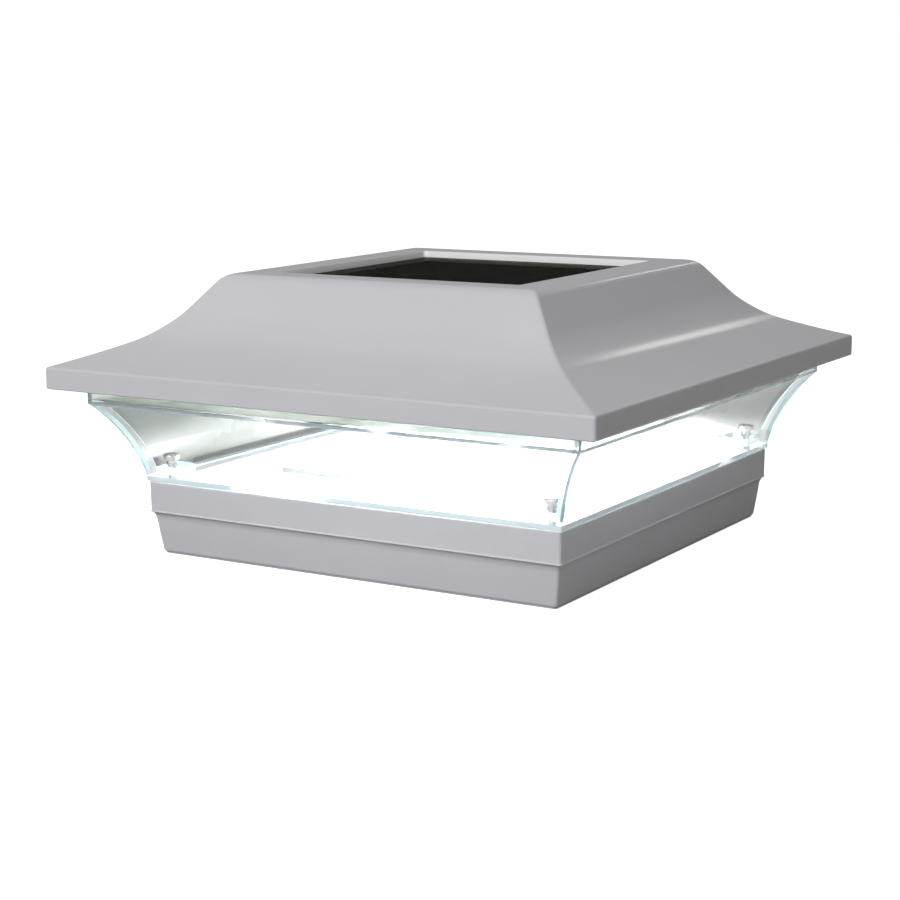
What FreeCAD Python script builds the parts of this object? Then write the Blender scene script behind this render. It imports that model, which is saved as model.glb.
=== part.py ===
"""Solar cap light for a square deck post.

A cast skirt slips over the top of the post. A clear flared lens with an inward floor flange is screwed
to it, and the cast roof sits over the lens rim. The roof carries the solar panel in its crown and,
underneath, a plastic housing with the battery, the control board, the lamp and the switch.

Frame: +Z up, origin on the ground plane at the middle of the skirt. Millimetres and degrees.
Bench order: lift the roof off, open the battery door, undo the four lens screws.
"""

import FreeCAD
import Part
import math
import os

# ---------------------------------------------------------------- driving dimensions

# post and skirt
POST_WIDTH = 127.0            # a 5 inch post sleeve
POST_PLAY = 1.5               # gap on each side of the post
SKIRT_WALL = 3.0              # at the foot
SKIRT_TAPER = 2.7             # how much wider the band is than the foot, on each side
SKIRT_HEIGHT = 22.6
BAND_HEIGHT = 9.4             # upright band at the top of the skirt
COVE_HEIGHT = 4.2             # curved step under the band
COVE_DEPTH = 1.4
FOOT_ROUND = 0.8              # radius of the skirt's lower edge
BAND_ROUND = 0.35             # radius of the band's upper edge
SKIRT_BEVEL = 0.5             # how much is taken off the skirt's upright corners
DECK_THICKNESS = 2.2
SEAT_DEPTH = 2.4              # how far the seat ring hangs under the deck
SEAT_WIDTH = 9.0              # width of the ring that the post's end meets

# reflector sheet on the deck
SHEET_THICKNESS = 0.8
SHEET_GAP = 0.25
RIM_WIDTH = 2.2               # rim of the skirt that is left round the sheet

# lens
LENS_OVERHANG = 0.5           # the lens foot stands this far past the band
LENS_WALL = 2.4
LENS_FOOT_HEIGHT = 1.6        # upright edge at the bottom of the lens
LENS_LEDGE_Z = 47.0           # where the flare ends and the upright rim starts
LENS_TOP_Z = 57.0
FLARE_SAG = 1.65              # how far the flare's curve leaves a straight line
LENS_FLOOR = 2.2              # thickness of the inward flange
LENS_WINDOW = 83.8            # square opening in the flange
LENS_BEVEL = 0.4
SCREW_INSET = 5.7             # lens screw axes, in from the lens foot
BOSS_RADIUS = 7.0             # round pads of the lens floor that the screws go through
BOSS_HEIGHT = 2.2

# lens screws
LENS_SCREW_RADIUS = 1.2
LENS_SCREW_LENGTH = 8.5       # from the shoulder down
LENS_HEAD_RADIUS = 2.6
LENS_HEAD_HEIGHT = 1.6
NECK_RADIUS = 1.6             # stepped neck that bears on the pad
NECK_HEIGHT = 2.1
THREAD_GAP = 0.06
RECESS_DEPTH = 0.9            # cross recess in every screw head
RECESS_WIDTH = 0.5

# roof
ROOF_WIDTH = 183.0
EAVE_REACH = 8.5              # the eave stands this far past the lens rim
EAVE_Z = 51.9                 # lower edge of the fascia
FASCIA_HEIGHT = 6.0
FASCIA_ROUND = 0.7            # radius along the fascia's upper edge
EAVE_ROUND = 0.4              # radius along the fascia's lower edge
ROOF_TOP_Z = 84.6
CROWN_WIDTH = 102.0           # flat on top
PROFILE_PITCH = 0.65926       # rise over run that the four slopes below are drawn for, in degrees
EAVE_SLOPE = 17.0
APRON_SLOPE = 24.0
WAIST_SLOPE = 51.5
SHOULDER_SLOPE = 6.0
EAVE_SHARE = 0.44334          # share of the roof's run that the eave's curve takes
COVE_SHARE = 0.28770          # the same for the cove above it
ROOF_WALL = 2.2
HIP_BEVEL = 0.45
RIB_WALL = 1.6
RIB_GAP = 0.4                 # play between the lens rim and a rib
INNER_RIB_Z = 53.0
OUTER_RIB_Z = 54.4
RIB_ROOT = 6.0                # the ribs run up into the roof this far past the seal
SEAL_THICKNESS = 1.0

# solar panel in the crown
PANEL_OPENING = 82.4
OPENING_ROUND = 0.6           # radius of the opening's upper edge
PANEL_RECESS = 2.0            # from the crown down to the panel's face
PANEL_GAP = 0.5
GLASS_THICKNESS = 1.2
CELL_SHEET = 0.2              # thickness of one solar cell
BACKBOARD_THICKNESS = 1.4
GASKET_THICKNESS = 0.8
GASKET_WIDTH = 4.0
POCKET_WALL = 2.0
POCKET_FLOOR = 2.0
CELL_COLUMNS = 2
CELL_ROWS = 4
CELL_SPACE = 0.8
PANEL_MARGIN = 1.6            # bare border round the cells

# electronics housing
HOUSING_WIDTH = 92.0
HOUSING_HEIGHT = 18.5
HOUSING_WALL = 1.8
HOUSING_CORNER = 3.0
TOWER_INSET = 8.0             # screw towers, in from the housing's sides
TOWER_RADIUS = 4.2
ROOF_BOSS_RADIUS = 3.3
ROOF_BOSS_LENGTH = 8.0
HOUSING_SCREW_RADIUS = 1.5
SCREW_BITE = 4.7              # length of thread in the roof's boss
HOUSING_HEAD_RADIUS = 2.8
HOUSING_HEAD_HEIGHT = 2.0
HEAD_POCKET_DEPTH = 3.2
HEAD_POCKET_GAP = 0.4

# battery bay
BATTERY_RADIUS = 7.1          # AA size
BATTERY_LENGTH = 50.3
NUB_RADIUS = 2.6
NUB_LENGTH = 1.2
BATTERY_PLAY = 0.4
BAY_MARGIN = 3.9              # from the bay to the housing's side
BAY_WALL = 2.4
BAY_ROOF = 1.2
CONTACT_THICKNESS = 0.4
CONTACT_WIDTH = 11.0
CONTACT_HEIGHT = 11.6
TAB_LENGTH = 4.2              # solder tab outside the bay
TAB_WIDTH = 3.0
TAB_GAP = 0.15
TAB_SHIFT = 3.0               # from the cell's axis, towards the middle
TAB_RISE = (4.6, 2.0)         # of each tab over the cells' axes
DIMPLE_RADIUS = 2.2
DIMPLE_HEIGHT = 0.7
SPRING_WIRE = 0.5
SPRING_RADIUS = 3.0
SPRING_LENGTH = 4.6
SPRING_TURNS = 3.5
TOUCH_GAP = 0.05              # between round parts that bear on each other

# battery door
DOOR_THICKNESS = 1.6
DOOR_LAP = 1.0                # the door covers the bay's walls by this much
DOOR_GAP = 0.3
DOOR_HEADROOM = 0.2
HINGE_PIN_RADIUS = 0.9
HINGE_GAP = 0.06
KNUCKLE_RADIUS = 1.9
KNUCKLE_LENGTH = 8.0
KNUCKLE_OFFSET = 18.0
EAR_WIDTH = 2.4
LATCH_WIDTH = 12.0
LATCH_WALL = 1.0
LATCH_HEIGHT = 2.2
LATCH_INSET = 0.9
NOTCH_WIDTH = 14.0            # finger notch beside the door
NOTCH_LENGTH = 2.6
NOTCH_DEPTH = 1.0

# lamp
LAMP_CLEARANCE = 1.0          # between the lamp cover's flange and the bay
LAMP_GAP = 0.1
LAMP_FLANGE = 1.1
LAMP_COVER_WALL = 1.2
LAMP_COVER_RISE = 3.7         # from the housing's floor to the lamp board
LAMP_BOARD_END = 3.4          # past the posts
LAMP_BOARD_LAP = 0.5          # the board stands this far past the opening
LAMP_BOARD_THICKNESS = 1.2
CHIP_HEIGHT = 0.8
CHIP_SHARES = (0.5224, 0.4179, 0.5373)    # length, width and place, of the room inside the cover
LAMP_POST_GAP = 6.6           # from the opening to the posts
LAMP_POST_RADIUS = 2.1
SMALL_SCREW_RADIUS = 1.0
SMALL_HEAD_RADIUS = 1.9
SMALL_HEAD_HEIGHT = 1.2
SMALL_SCREW_LENGTH = 4.4

# control board
BOARD_GAP = 3.8               # between the board's ends and the towers
BOARD_MARGIN = 3.2            # between the board and the housing's wall
BOARD_WIDTH = 25.0
BOARD_THICKNESS = 1.6
BOARD_RISE = 5.7              # from the housing's floor to the board
BOARD_POST_INSET = 4.0
BOARD_POST_RADIUS = 2.4
CAPACITOR_RADIUS = 2.5
CAPACITOR_HEIGHT = 7.5
CAPACITOR_PLACE = (18.5, -6.0)            # from the board's middle, like the places below
COIL_RADIUS = 3.4
COIL_HEIGHT = 3.4
COIL_WAIST = 0.7
COIL_RIM = 0.8
COIL_PLACE = (19.0, 6.5)
DRIVER_SIZE = (9.9, 3.9, 1.6)
DRIVER_PLACE = (0.0, -2.5)

# switch
SWITCH_X = 12.0
SWITCH_LENGTH = 12.0
SWITCH_WIDTH = 6.4
SWITCH_SKIN = 0.6
SWITCH_TRAVEL = 3.0
SWITCH_CLEAR_Z = 0.6          # air between the switch and the housing's floor
SLIDER_LENGTH = 5.0
SLIDER_WIDTH = 4.0
SLIDER_HEIGHT = 2.0
KNOB_LENGTH = 3.0
KNOB_WIDTH = 2.6
KNOB_PROUD = 1.0              # how far the knob stands out of the housing
KNOB_GAP = 0.2
PIN_RADIUS = 0.35
PIN_SPACING = 2.5
PIN_LENGTH = 2.6

# leads
LEAD_RADIUS = 0.6
LEAD_BEND = 1.7
LEAD_SPACING = 1.7
PANEL_LEAD_LEVEL = 4.4        # height of the run over the board
PANEL_LEAD_RUN = 10.0
LAMP_LEAD_LEVEL = 3.6
LAMP_LEAD_INSET = 2.5         # from the lamp board's edge
LAMP_LEAD_PLACES = (-3.6, -0.4)
LAMP_LEAD_END = 9.0           # from the control board's middle
CELL_LEAD_INSET = 1.2         # from the tab's end and middle
CELL_LEAD_TURNS = (22.5, 19.5)            # where each run turns, from the control board's middle
CELL_LEAD_ENDS = ((5.5, 8.5), (8.9, 5.9))  # from the board's -X end and its middle
GROMMET_PLACE = (-16.0, 2.5)
GROMMET_RADIUS = 3.4
GROMMET_FLANGE_RADIUS = 4.6
GROMMET_FLANGE = 0.6
GROMMET_BORE_RADIUS = 2.0

# ---------------------------------------------------------------- levels and widths that follow

SOCKET_HALF = POST_WIDTH / 2 + POST_PLAY
FOOT_HALF = SOCKET_HALF + SKIRT_WALL
BAND_HALF = FOOT_HALF + SKIRT_TAPER
SHEET_BOTTOM_Z = SKIRT_HEIGHT - SHEET_THICKNESS
DECK_BOTTOM_Z = SHEET_BOTTOM_Z - DECK_THICKNESS
SEAT_Z = DECK_BOTTOM_Z - SEAT_DEPTH
SHEET_POCKET_HALF = BAND_HALF - RIM_WIDTH

LENS_FOOT_HALF = BAND_HALF + LENS_OVERHANG
ROOF_HALF = ROOF_WIDTH / 2
LENS_RIM_HALF = ROOF_HALF - EAVE_REACH
LENS_FLOOR_Z = SKIRT_HEIGHT + LENS_FLOOR
BOSS_TOP_Z = LENS_FLOOR_Z + BOSS_HEIGHT
SCREW_OFFSET = LENS_FOOT_HALF - SCREW_INSET

CROWN_HALF = CROWN_WIDTH / 2
SEAL_TOP_Z = LENS_TOP_Z + SEAL_THICKNESS
RIB_INNER_FACE = LENS_RIM_HALF - LENS_WALL - RIB_GAP
RIB_OUTER_FACE = LENS_RIM_HALF + RIB_GAP

OPENING_HALF = PANEL_OPENING / 2
PANEL_HALF = OPENING_HALF - PANEL_GAP
GLASS_TOP_Z = ROOF_TOP_Z - PANEL_RECESS
GLASS_BOTTOM_Z = GLASS_TOP_Z - GLASS_THICKNESS
BACKBOARD_TOP_Z = GLASS_BOTTOM_Z - CELL_SHEET
BACKBOARD_BOTTOM_Z = BACKBOARD_TOP_Z - BACKBOARD_THICKNESS
POCKET_FLOOR_Z = BACKBOARD_BOTTOM_Z - GASKET_THICKNESS
HOUSING_TOP_Z = POCKET_FLOOR_Z - POCKET_FLOOR

HOUSING_HALF = HOUSING_WIDTH / 2
HOUSING_BOTTOM_Z = HOUSING_TOP_Z - HOUSING_HEIGHT
HOUSING_FLOOR_Z = HOUSING_BOTTOM_Z + HOUSING_WALL
TOWER_OFFSET = HOUSING_HALF - TOWER_INSET
TOWER_TOP_Z = HOUSING_TOP_Z - ROOF_BOSS_LENGTH
HEAD_SEAT_Z = HOUSING_BOTTOM_Z + HEAD_POCKET_DEPTH
HOUSING_SCREW_LENGTH = TOWER_TOP_Z + SCREW_BITE - HEAD_SEAT_Z

BATTERY_Z = HOUSING_BOTTOM_Z + DOOR_THICKNESS + BATTERY_PLAY + BATTERY_RADIUS
BAY_CEILING_Z = BATTERY_Z + BATTERY_RADIUS + BATTERY_PLAY
BAY_END_Y = HOUSING_HALF - BAY_MARGIN
BAY_START_Y = BAY_END_Y - 3 * BATTERY_PLAY - 4 * BATTERY_RADIUS
BATTERY_Y = [BAY_START_Y + BATTERY_PLAY + BATTERY_RADIUS,
             BAY_END_Y - BATTERY_PLAY - BATTERY_RADIUS]
CONTACT_FACE_X = (BATTERY_LENGTH + SPRING_LENGTH + DIMPLE_HEIGHT) / 2 + TOUCH_GAP
BAY_HALF = CONTACT_FACE_X + CONTACT_THICKNESS
DOOR_HALF = BAY_HALF + DOOR_LAP
DOOR_START_Y = BAY_START_Y - DOOR_LAP
DOOR_END_Y = BAY_END_Y + DOOR_LAP
DOOR_TOP_Z = HOUSING_BOTTOM_Z + DOOR_THICKNESS
HINGE_Y = DOOR_END_Y - KNUCKLE_RADIUS
HINGE_Z = HOUSING_BOTTOM_Z + KNUCKLE_RADIUS

LAMP_HALF = BAY_START_Y - BAY_WALL - LAMP_CLEARANCE - LAMP_FLANGE
LAMP_ROOM = LAMP_HALF - LAMP_GAP - LAMP_COVER_WALL
LAMP_POST_OFFSET = LAMP_HALF + LAMP_POST_GAP
LAMP_BOARD_LENGTH = 2 * (LAMP_POST_OFFSET + LAMP_BOARD_END)
LAMP_BOARD_WIDTH = 2 * (LAMP_HALF + LAMP_BOARD_LAP)
LAMP_BOARD_Z = HOUSING_FLOOR_Z + LAMP_COVER_RISE
CHIP_LENGTH, CHIP_WIDTH, CHIP_OFFSET = [share * LAMP_ROOM for share in CHIP_SHARES]

BOARD_LENGTH = 2 * (TOWER_OFFSET - TOWER_RADIUS - BOARD_GAP)
BOARD_POST_X = BOARD_LENGTH / 2 - BOARD_POST_INSET
BOARD_Y = HOUSING_WALL + BOARD_MARGIN + BOARD_WIDTH / 2 - HOUSING_HALF
BOARD_Z = HOUSING_FLOOR_Z + BOARD_RISE
BOARD_TOP_Z = BOARD_Z + BOARD_THICKNESS
GROMMET_X = GROMMET_PLACE[0]
GROMMET_Y = BOARD_Y + GROMMET_PLACE[1]
SWITCH_Y = BOARD_Y
SWITCH_BOTTOM_Z = HOUSING_FLOOR_Z + SWITCH_CLEAR_Z

CORNERS = [(sx, sy) for sx in (-1, 1) for sy in (-1, 1)]
SIDES = (-1, 1)


# ---------------------------------------------------------------- shape helpers

def at(x, y, z):
    return FreeCAD.Vector(x, y, z)


def block(x0, x1, y0, y1, z0, z1):
    return Part.makeBox(x1 - x0, y1 - y0, z1 - z0, at(x0, y0, z0))


def block_about(x, y, length, width, z0, z1):
    return block(x - length / 2, x + length / 2, y - width / 2, y + width / 2, z0, z1)


def slab(half, z0, z1):
    return block(-half, half, -half, half, z0, z1)


def ring(outer_half, inner_half, z0, z1):
    return slab(outer_half, z0, z1).cut(slab(inner_half, z0, z1))


def rod(x, y, radius, z0, z1):
    return Part.makeCylinder(radius, z1 - z0, at(x, y, z0))


def rod_x(y, z, radius, x0, x1):
    return Part.makeCylinder(radius, x1 - x0, at(x0, y, z), at(1, 0, 0))


def join(shapes):
    first, *rest = shapes
    return first.fuse(rest).removeSplitter()


def group(shapes):
    return Part.makeCompound(list(shapes))


def rounded_slab(half, radius, z0, z1):
    body = slab(half, z0, z1)
    upright = [e for e in body.Edges if abs(e.tangentAt(e.FirstParameter).z) > 0.99]
    return body.makeFillet(radius, upright)


def line(a, b):
    return Part.LineSegment(at(a[0], 0, a[1]), at(b[0], 0, b[1])).toShape()


def arc(a, middle, b):
    return Part.Arc(at(a[0], 0, a[1]), at(middle[0], 0, middle[1]), at(b[0], 0, b[1])).toShape()


def crossed_bars(edges):
    """Two bars with the same outline, one along each axis, cut down to what they share."""
    mirrored = [e.mirror(at(0, 0, 0), at(1, 0, 0)) for e in edges]
    low = edges[0].valueAt(edges[0].FirstParameter)
    high = edges[-1].valueAt(edges[-1].LastParameter)
    ends = [line((-low.x, low.z), (low.x, low.z)), line((-high.x, high.z), (high.x, high.z))]
    face = Part.Face(Part.Wire(Part.__sortEdges__(edges + mirrored + ends)))
    reach = 2 * face.BoundBox.XMax
    bar = face.extrude(at(0, reach, 0))
    bar.translate(at(0, -reach / 2, 0))
    across = bar.copy()
    across.rotate(at(0, 0, 0), at(0, 0, 1), 90)
    return bar.common(across)


def square_solid(edges, bevel=0):
    """Solid with square level sections, whose half width at each height is what the outline gives.

    edges run from the bottom to the top of the right-hand outline in the XZ plane. bevel is how much comes
    off the corner of each section, measured along its diagonal.
    """
    body = crossed_bars(edges)
    if bevel:
        diagonal = []
        for edge in edges:
            points = [at(math.sqrt(2) * p.x - bevel, 0, p.z) for p in edge.discretize(Number=9)]
            if edge.Curve.TypeId == "Part::GeomLine":
                diagonal.append(Part.LineSegment(points[0], points[-1]).toShape())
            else:
                curve = Part.BSplineCurve()
                curve.interpolate(points)
                diagonal.append(curve.toShape())
        turned = crossed_bars(diagonal)
        turned.rotate(at(0, 0, 0), at(0, 0, 1), 45)
        body = body.common(turned)
    return body.removeSplitter()


def screw(x, y, seat_z, head_z, head_radius, shank_radius, tip_z, recess_gap=0):
    """A pan head screw on an upright axis: head between seat_z and head_z, shank out to tip_z."""
    low, high = sorted((seat_z, head_z))
    head = rod(x, y, head_radius, low, high)
    top = [e for e in head.Edges if abs(e.BoundBox.ZMin - head_z) < 1e-6 and abs(e.BoundBox.ZMax - head_z) < 1e-6]
    head = head.makeFillet(0.55 * (high - low), top)
    shank = rod(x, y, shank_radius, min(seat_z, tip_z), max(seat_z, tip_z))
    point = [e for e in shank.Edges if abs(e.BoundBox.ZMin - tip_z) < 1e-6 and abs(e.BoundBox.ZMax - tip_z) < 1e-6]
    shank = shank.makeChamfer(0.45 * shank_radius, point)
    inward = 1 if seat_z > head_z else -1
    floor = head_z + inward * RECESS_DEPTH
    reach = 0.55 * head_radius
    cross = [block_about(x, y, 2 * reach, RECESS_WIDTH, min(floor, head_z), max(floor, head_z)),
             block_about(x, y, RECESS_WIDTH, 2 * reach, min(floor, head_z), max(floor, head_z))]
    return head.fuse(shank).removeSplitter().cut(cross)


def lead(points, radius=LEAD_RADIUS, bend=LEAD_BEND):
    """An insulated wire: straight runs between the points, joined by tangent arcs."""
    corners = [at(*p) for p in points]
    edges = []
    start = corners[0]
    for here, after in zip(corners[1:-1], corners[2:]):
        back = (start - here).normalize()
        ahead = (after - here).normalize()
        half = back.getAngle(ahead) / 2
        middle = (back + ahead).normalize()
        centre = here + middle * (bend / math.sin(half))
        enter = here + back * (bend / math.tan(half))
        leave = here + ahead * (bend / math.tan(half))
        edges.append(Part.LineSegment(start, enter).toShape())
        edges.append(Part.Arc(enter, centre - middle * bend, leave).toShape())
        start = leave
    edges.append(Part.LineSegment(start, corners[-1]).toShape())
    route = Part.Wire(edges)
    along = (corners[1] - corners[0]).normalize()
    section = Part.Wire(Part.makeCircle(radius, corners[0], along))
    return route.makePipeShell([section], True, False)


# ---------------------------------------------------------------- skirt and reflector

def skirt_outline():
    band_low = SKIRT_HEIGHT - BAND_HEIGHT
    cove_low = band_low - COVE_HEIGHT
    cove_half = BAND_HALF - COVE_DEPTH
    slant = FOOT_ROUND * (1 - math.sqrt(0.5))
    edge = BAND_ROUND * (1 - math.sqrt(0.5))
    side = (FOOT_HALF + (cove_half - FOOT_HALF) * FOOT_ROUND / cove_low, FOOT_ROUND)
    return [
        arc((side[0] - FOOT_ROUND, 0), (side[0] - slant, slant), side),
        line(side, (cove_half, cove_low)),
        arc((cove_half, cove_low), (BAND_HALF - 0.6 * COVE_DEPTH, cove_low + 0.53 * COVE_HEIGHT),
            (BAND_HALF, band_low)),
        line((BAND_HALF, band_low), (BAND_HALF, SKIRT_HEIGHT - BAND_ROUND)),
        arc((BAND_HALF, SKIRT_HEIGHT - BAND_ROUND), (BAND_HALF - edge, SKIRT_HEIGHT - edge),
            (BAND_HALF - BAND_ROUND, SKIRT_HEIGHT)),
    ]


def lens_screw_holes(z0, z1):
    radius = LENS_SCREW_RADIUS + THREAD_GAP
    return [rod(sx * SCREW_OFFSET, sy * SCREW_OFFSET, radius, z0, z1) for sx, sy in CORNERS]


def base_skirt():
    body = square_solid(skirt_outline(), SKIRT_BEVEL)
    hollow = [slab(SOCKET_HALF, 0, SEAT_Z),
              slab(SOCKET_HALF - SEAT_WIDTH, SEAT_Z, DECK_BOTTOM_Z),
              slab(SHEET_POCKET_HALF, SHEET_BOTTOM_Z, SKIRT_HEIGHT)]
    tip_z = BOSS_TOP_Z - LENS_SCREW_LENGTH
    return body.cut(hollow + lens_screw_holes(tip_z - THREAD_GAP, SHEET_BOTTOM_Z))


def reflector_sheet():
    sheet = slab(SHEET_POCKET_HALF - SHEET_GAP, SHEET_BOTTOM_Z, SKIRT_HEIGHT)
    return sheet.cut(lens_screw_holes(SHEET_BOTTOM_Z, SKIRT_HEIGHT))


# ---------------------------------------------------------------- lens

def flare_arc(wall):
    """Flare of the lens, set in by a wall, as (half width at height) and its level ends."""
    low = (LENS_FOOT_HALF, SKIRT_HEIGHT + LENS_FOOT_HEIGHT)
    high = (LENS_RIM_HALF, LENS_LEDGE_Z)
    chord = math.dist(low, high)
    radius = (chord ** 2 / 4 + FLARE_SAG ** 2) / (2 * FLARE_SAG)
    along = ((high[0] - low[0]) / chord, (high[1] - low[1]) / chord)
    reach = radius - FLARE_SAG
    centre = ((low[0] + high[0]) / 2 + along[1] * reach, (low[1] + high[1]) / 2 - along[0] * reach)
    return centre, radius + wall


def flare_half(wall, z):
    centre, radius = flare_arc(wall)
    return centre[0] - math.sqrt(radius ** 2 - (z - centre[1]) ** 2)


def flare_z(wall, half):
    centre, radius = flare_arc(wall)
    return centre[1] + math.sqrt(radius ** 2 - (half - centre[0]) ** 2)


def lens_outline(wall, low_z):
    """Right-hand outline of the lens from low_z to its rim, set in by a wall."""
    rim = LENS_RIM_HALF - wall
    start_z = max(low_z, SKIRT_HEIGHT + LENS_FOOT_HEIGHT)
    ledge_z = LENS_LEDGE_Z if wall == 0 else flare_z(wall, rim)
    middle_z = (start_z + ledge_z) / 2
    start = (flare_half(wall, start_z), start_z)
    edges = [line((start[0], low_z), start)] if low_z < start_z else []
    edges.append(arc(start, (flare_half(wall, middle_z), middle_z), (rim, ledge_z)))
    edges.append(line((rim, ledge_z), (rim, LENS_TOP_Z)))
    return edges


def lens():
    outer = square_solid(lens_outline(0, SKIRT_HEIGHT), LENS_BEVEL)
    inside = square_solid(lens_outline(LENS_WALL, LENS_FLOOR_Z))
    pads = []
    for sx, sy in CORNERS:
        x, y = sx * SCREW_OFFSET, sy * SCREW_OFFSET
        pads.append(rod(x, y, BOSS_RADIUS, LENS_FLOOR_Z, BOSS_TOP_Z))
    hollow = inside.cut(pads)
    window = slab(LENS_WINDOW / 2, SKIRT_HEIGHT, LENS_FLOOR_Z)
    return outer.cut([hollow, window] + lens_screw_holes(SKIRT_HEIGHT, BOSS_TOP_Z))


def lens_screws():
    head_z = BOSS_TOP_Z + NECK_HEIGHT
    screws = []
    for sx, sy in CORNERS:
        x, y = sx * SCREW_OFFSET, sy * SCREW_OFFSET
        body = screw(x, y, head_z, head_z + LENS_HEAD_HEIGHT, LENS_HEAD_RADIUS, LENS_SCREW_RADIUS,
                     BOSS_TOP_Z - LENS_SCREW_LENGTH)
        screws.append(body.fuse(rod(x, y, NECK_RADIUS, BOSS_TOP_Z, head_z)).removeSplitter())
    return group(screws)


# ---------------------------------------------------------------- roof

def roof_walk():
    """Stations along the roof's slope from the fascia to the crown, as (point, slope) pairs.

    The slope turns up from the eave to the waist, runs straight, then turns back over the shoulder. The
    straight run and the shoulder's radius are what brings the last station to the crown's edge.
    """
    start = (ROOF_HALF, EAVE_Z + FASCIA_HEIGHT)
    run = ROOF_HALF - CROWN_HALF
    pitch = (ROOF_TOP_Z - start[1]) / run / PROFILE_PITCH
    eave, apron, waist, shoulder = [math.degrees(math.atan(pitch * math.tan(math.radians(slope))))
                                    for slope in (EAVE_SLOPE, APRON_SLOPE, WAIST_SLOPE, SHOULDER_SLOPE)]

    def sine(slope):
        return math.sin(math.radians(slope))

    def cosine(slope):
        return math.cos(math.radians(slope))

    def moved(point, radius, a, b):
        sign = 1 if b > a else -1
        return (point[0] - sign * radius * (sine(b) - sine(a)), point[1] + sign * radius * (cosine(a) - cosine(b)))

    legs = []

    def turn(point, radius, a, b):
        middle, after = moved(point, radius, a, (a + b) / 2), moved(point, radius, a, b)
        legs.append([(point, a), (middle, (a + b) / 2), (after, b)])
        return after

    point = turn(start, FASCIA_ROUND, 90.0, eave)
    point = turn(point, EAVE_SHARE * run / (sine(apron) - sine(eave)), eave, apron)
    point = turn(point, COVE_SHARE * run / (sine(waist) - sine(apron)), apron, waist)
    gap = (point[0] - CROWN_HALF, ROOF_TOP_Z - point[1])
    bend = (sine(waist) - sine(shoulder), cosine(shoulder) - cosine(waist))
    spread = sine(waist) * bend[0] - cosine(waist) * bend[1]
    straight = (gap[1] * bend[0] - gap[0] * bend[1]) / spread
    radius = (gap[0] * sine(waist) - gap[1] * cosine(waist)) / spread
    after = (point[0] - straight * cosine(waist), point[1] + straight * sine(waist))
    legs.append([(point, waist), (after, waist)])
    turn(after, radius, waist, shoulder)
    return legs


def inset(station, wall):
    point, slope = station
    slope = math.radians(slope)
    return (point[0] - wall * math.sin(slope), point[1] - wall * math.cos(slope))


def roof_slope_edges(legs, wall):
    edges = []
    for leg in legs:
        points = [inset(station, wall) for station in leg]
        edges.append(line(*points) if len(points) == 2 else arc(*points))
    return edges


def roof_solid():
    legs = roof_walk()
    slant = EAVE_ROUND * (1 - math.sqrt(0.5))
    edges = [arc((ROOF_HALF - EAVE_ROUND, EAVE_Z), (ROOF_HALF - slant, EAVE_Z + slant),
                 (ROOF_HALF, EAVE_Z + EAVE_ROUND)),
             line((ROOF_HALF, EAVE_Z + EAVE_ROUND), legs[0][0][0])]
    return square_solid(edges + roof_slope_edges(legs, 0), HIP_BEVEL)


def roof_hollow():
    legs = roof_walk()[1:]
    start = inset(legs[0][0], ROOF_WALL)
    edges = [line((start[0], EAVE_Z), start)] + roof_slope_edges(legs, ROOF_WALL)
    top = inset(legs[-1][-1], ROOF_WALL)[1]
    return square_solid(edges).common(slab(ROOF_HALF - ROOF_WALL, EAVE_Z, top))


def housing_screw_places():
    return [(sx * TOWER_OFFSET, sy * TOWER_OFFSET) for sx, sy in CORNERS]


def roof_shell():
    under = SEAL_TOP_Z + RIB_ROOT
    inner_rib = ring(RIB_INNER_FACE, RIB_INNER_FACE - RIB_WALL, INNER_RIB_Z, under)
    outer_rib = ring(RIB_OUTER_FACE + RIB_WALL, RIB_OUTER_FACE, OUTER_RIB_Z, under)
    seal_seat = ring(RIB_OUTER_FACE, RIB_INNER_FACE, SEAL_TOP_Z, under)
    pocket_wall = slab(OPENING_HALF + POCKET_WALL, POCKET_FLOOR_Z, ROOF_TOP_Z)
    pocket_floor = slab(OPENING_HALF + POCKET_WALL, HOUSING_TOP_Z, POCKET_FLOOR_Z)
    housing_seat = slab(HOUSING_HALF, HOUSING_TOP_Z, POCKET_FLOOR_Z)
    bosses = [rod(x, y, ROOF_BOSS_RADIUS, TOWER_TOP_Z, HOUSING_TOP_Z) for x, y in housing_screw_places()]
    kept = [inner_rib, outer_rib, seal_seat, pocket_wall, pocket_floor, housing_seat] + bosses
    hollow = roof_hollow().cut(kept)
    opening = slab(OPENING_HALF, POCKET_FLOOR_Z, ROOF_TOP_Z)
    grommet_hole = rod(GROMMET_X, GROMMET_Y, GROMMET_RADIUS, HOUSING_TOP_Z, POCKET_FLOOR_Z)
    depth = HEAD_SEAT_Z + HOUSING_SCREW_LENGTH + THREAD_GAP
    threads = [rod(x, y, HOUSING_SCREW_RADIUS + THREAD_GAP, TOWER_TOP_Z, depth)
               for x, y in housing_screw_places()]
    body = roof_solid().cut([hollow, opening, grommet_hole] + threads)
    lip = [e for e in body.Edges
           if e.BoundBox.ZMin > ROOF_TOP_Z - 1e-4 and abs(e.Length - PANEL_OPENING) < 1e-3]
    return body.makeFillet(OPENING_ROUND, lip)


def lens_seal():
    return ring(RIB_OUTER_FACE - TOUCH_GAP, RIB_INNER_FACE + TOUCH_GAP, LENS_TOP_Z, SEAL_TOP_Z)


# ---------------------------------------------------------------- solar panel

def panel_gasket():
    return ring(PANEL_HALF, PANEL_HALF - GASKET_WIDTH, POCKET_FLOOR_Z, BACKBOARD_BOTTOM_Z)


def panel_backboard():
    return slab(PANEL_HALF, BACKBOARD_BOTTOM_Z, BACKBOARD_TOP_Z)


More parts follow.
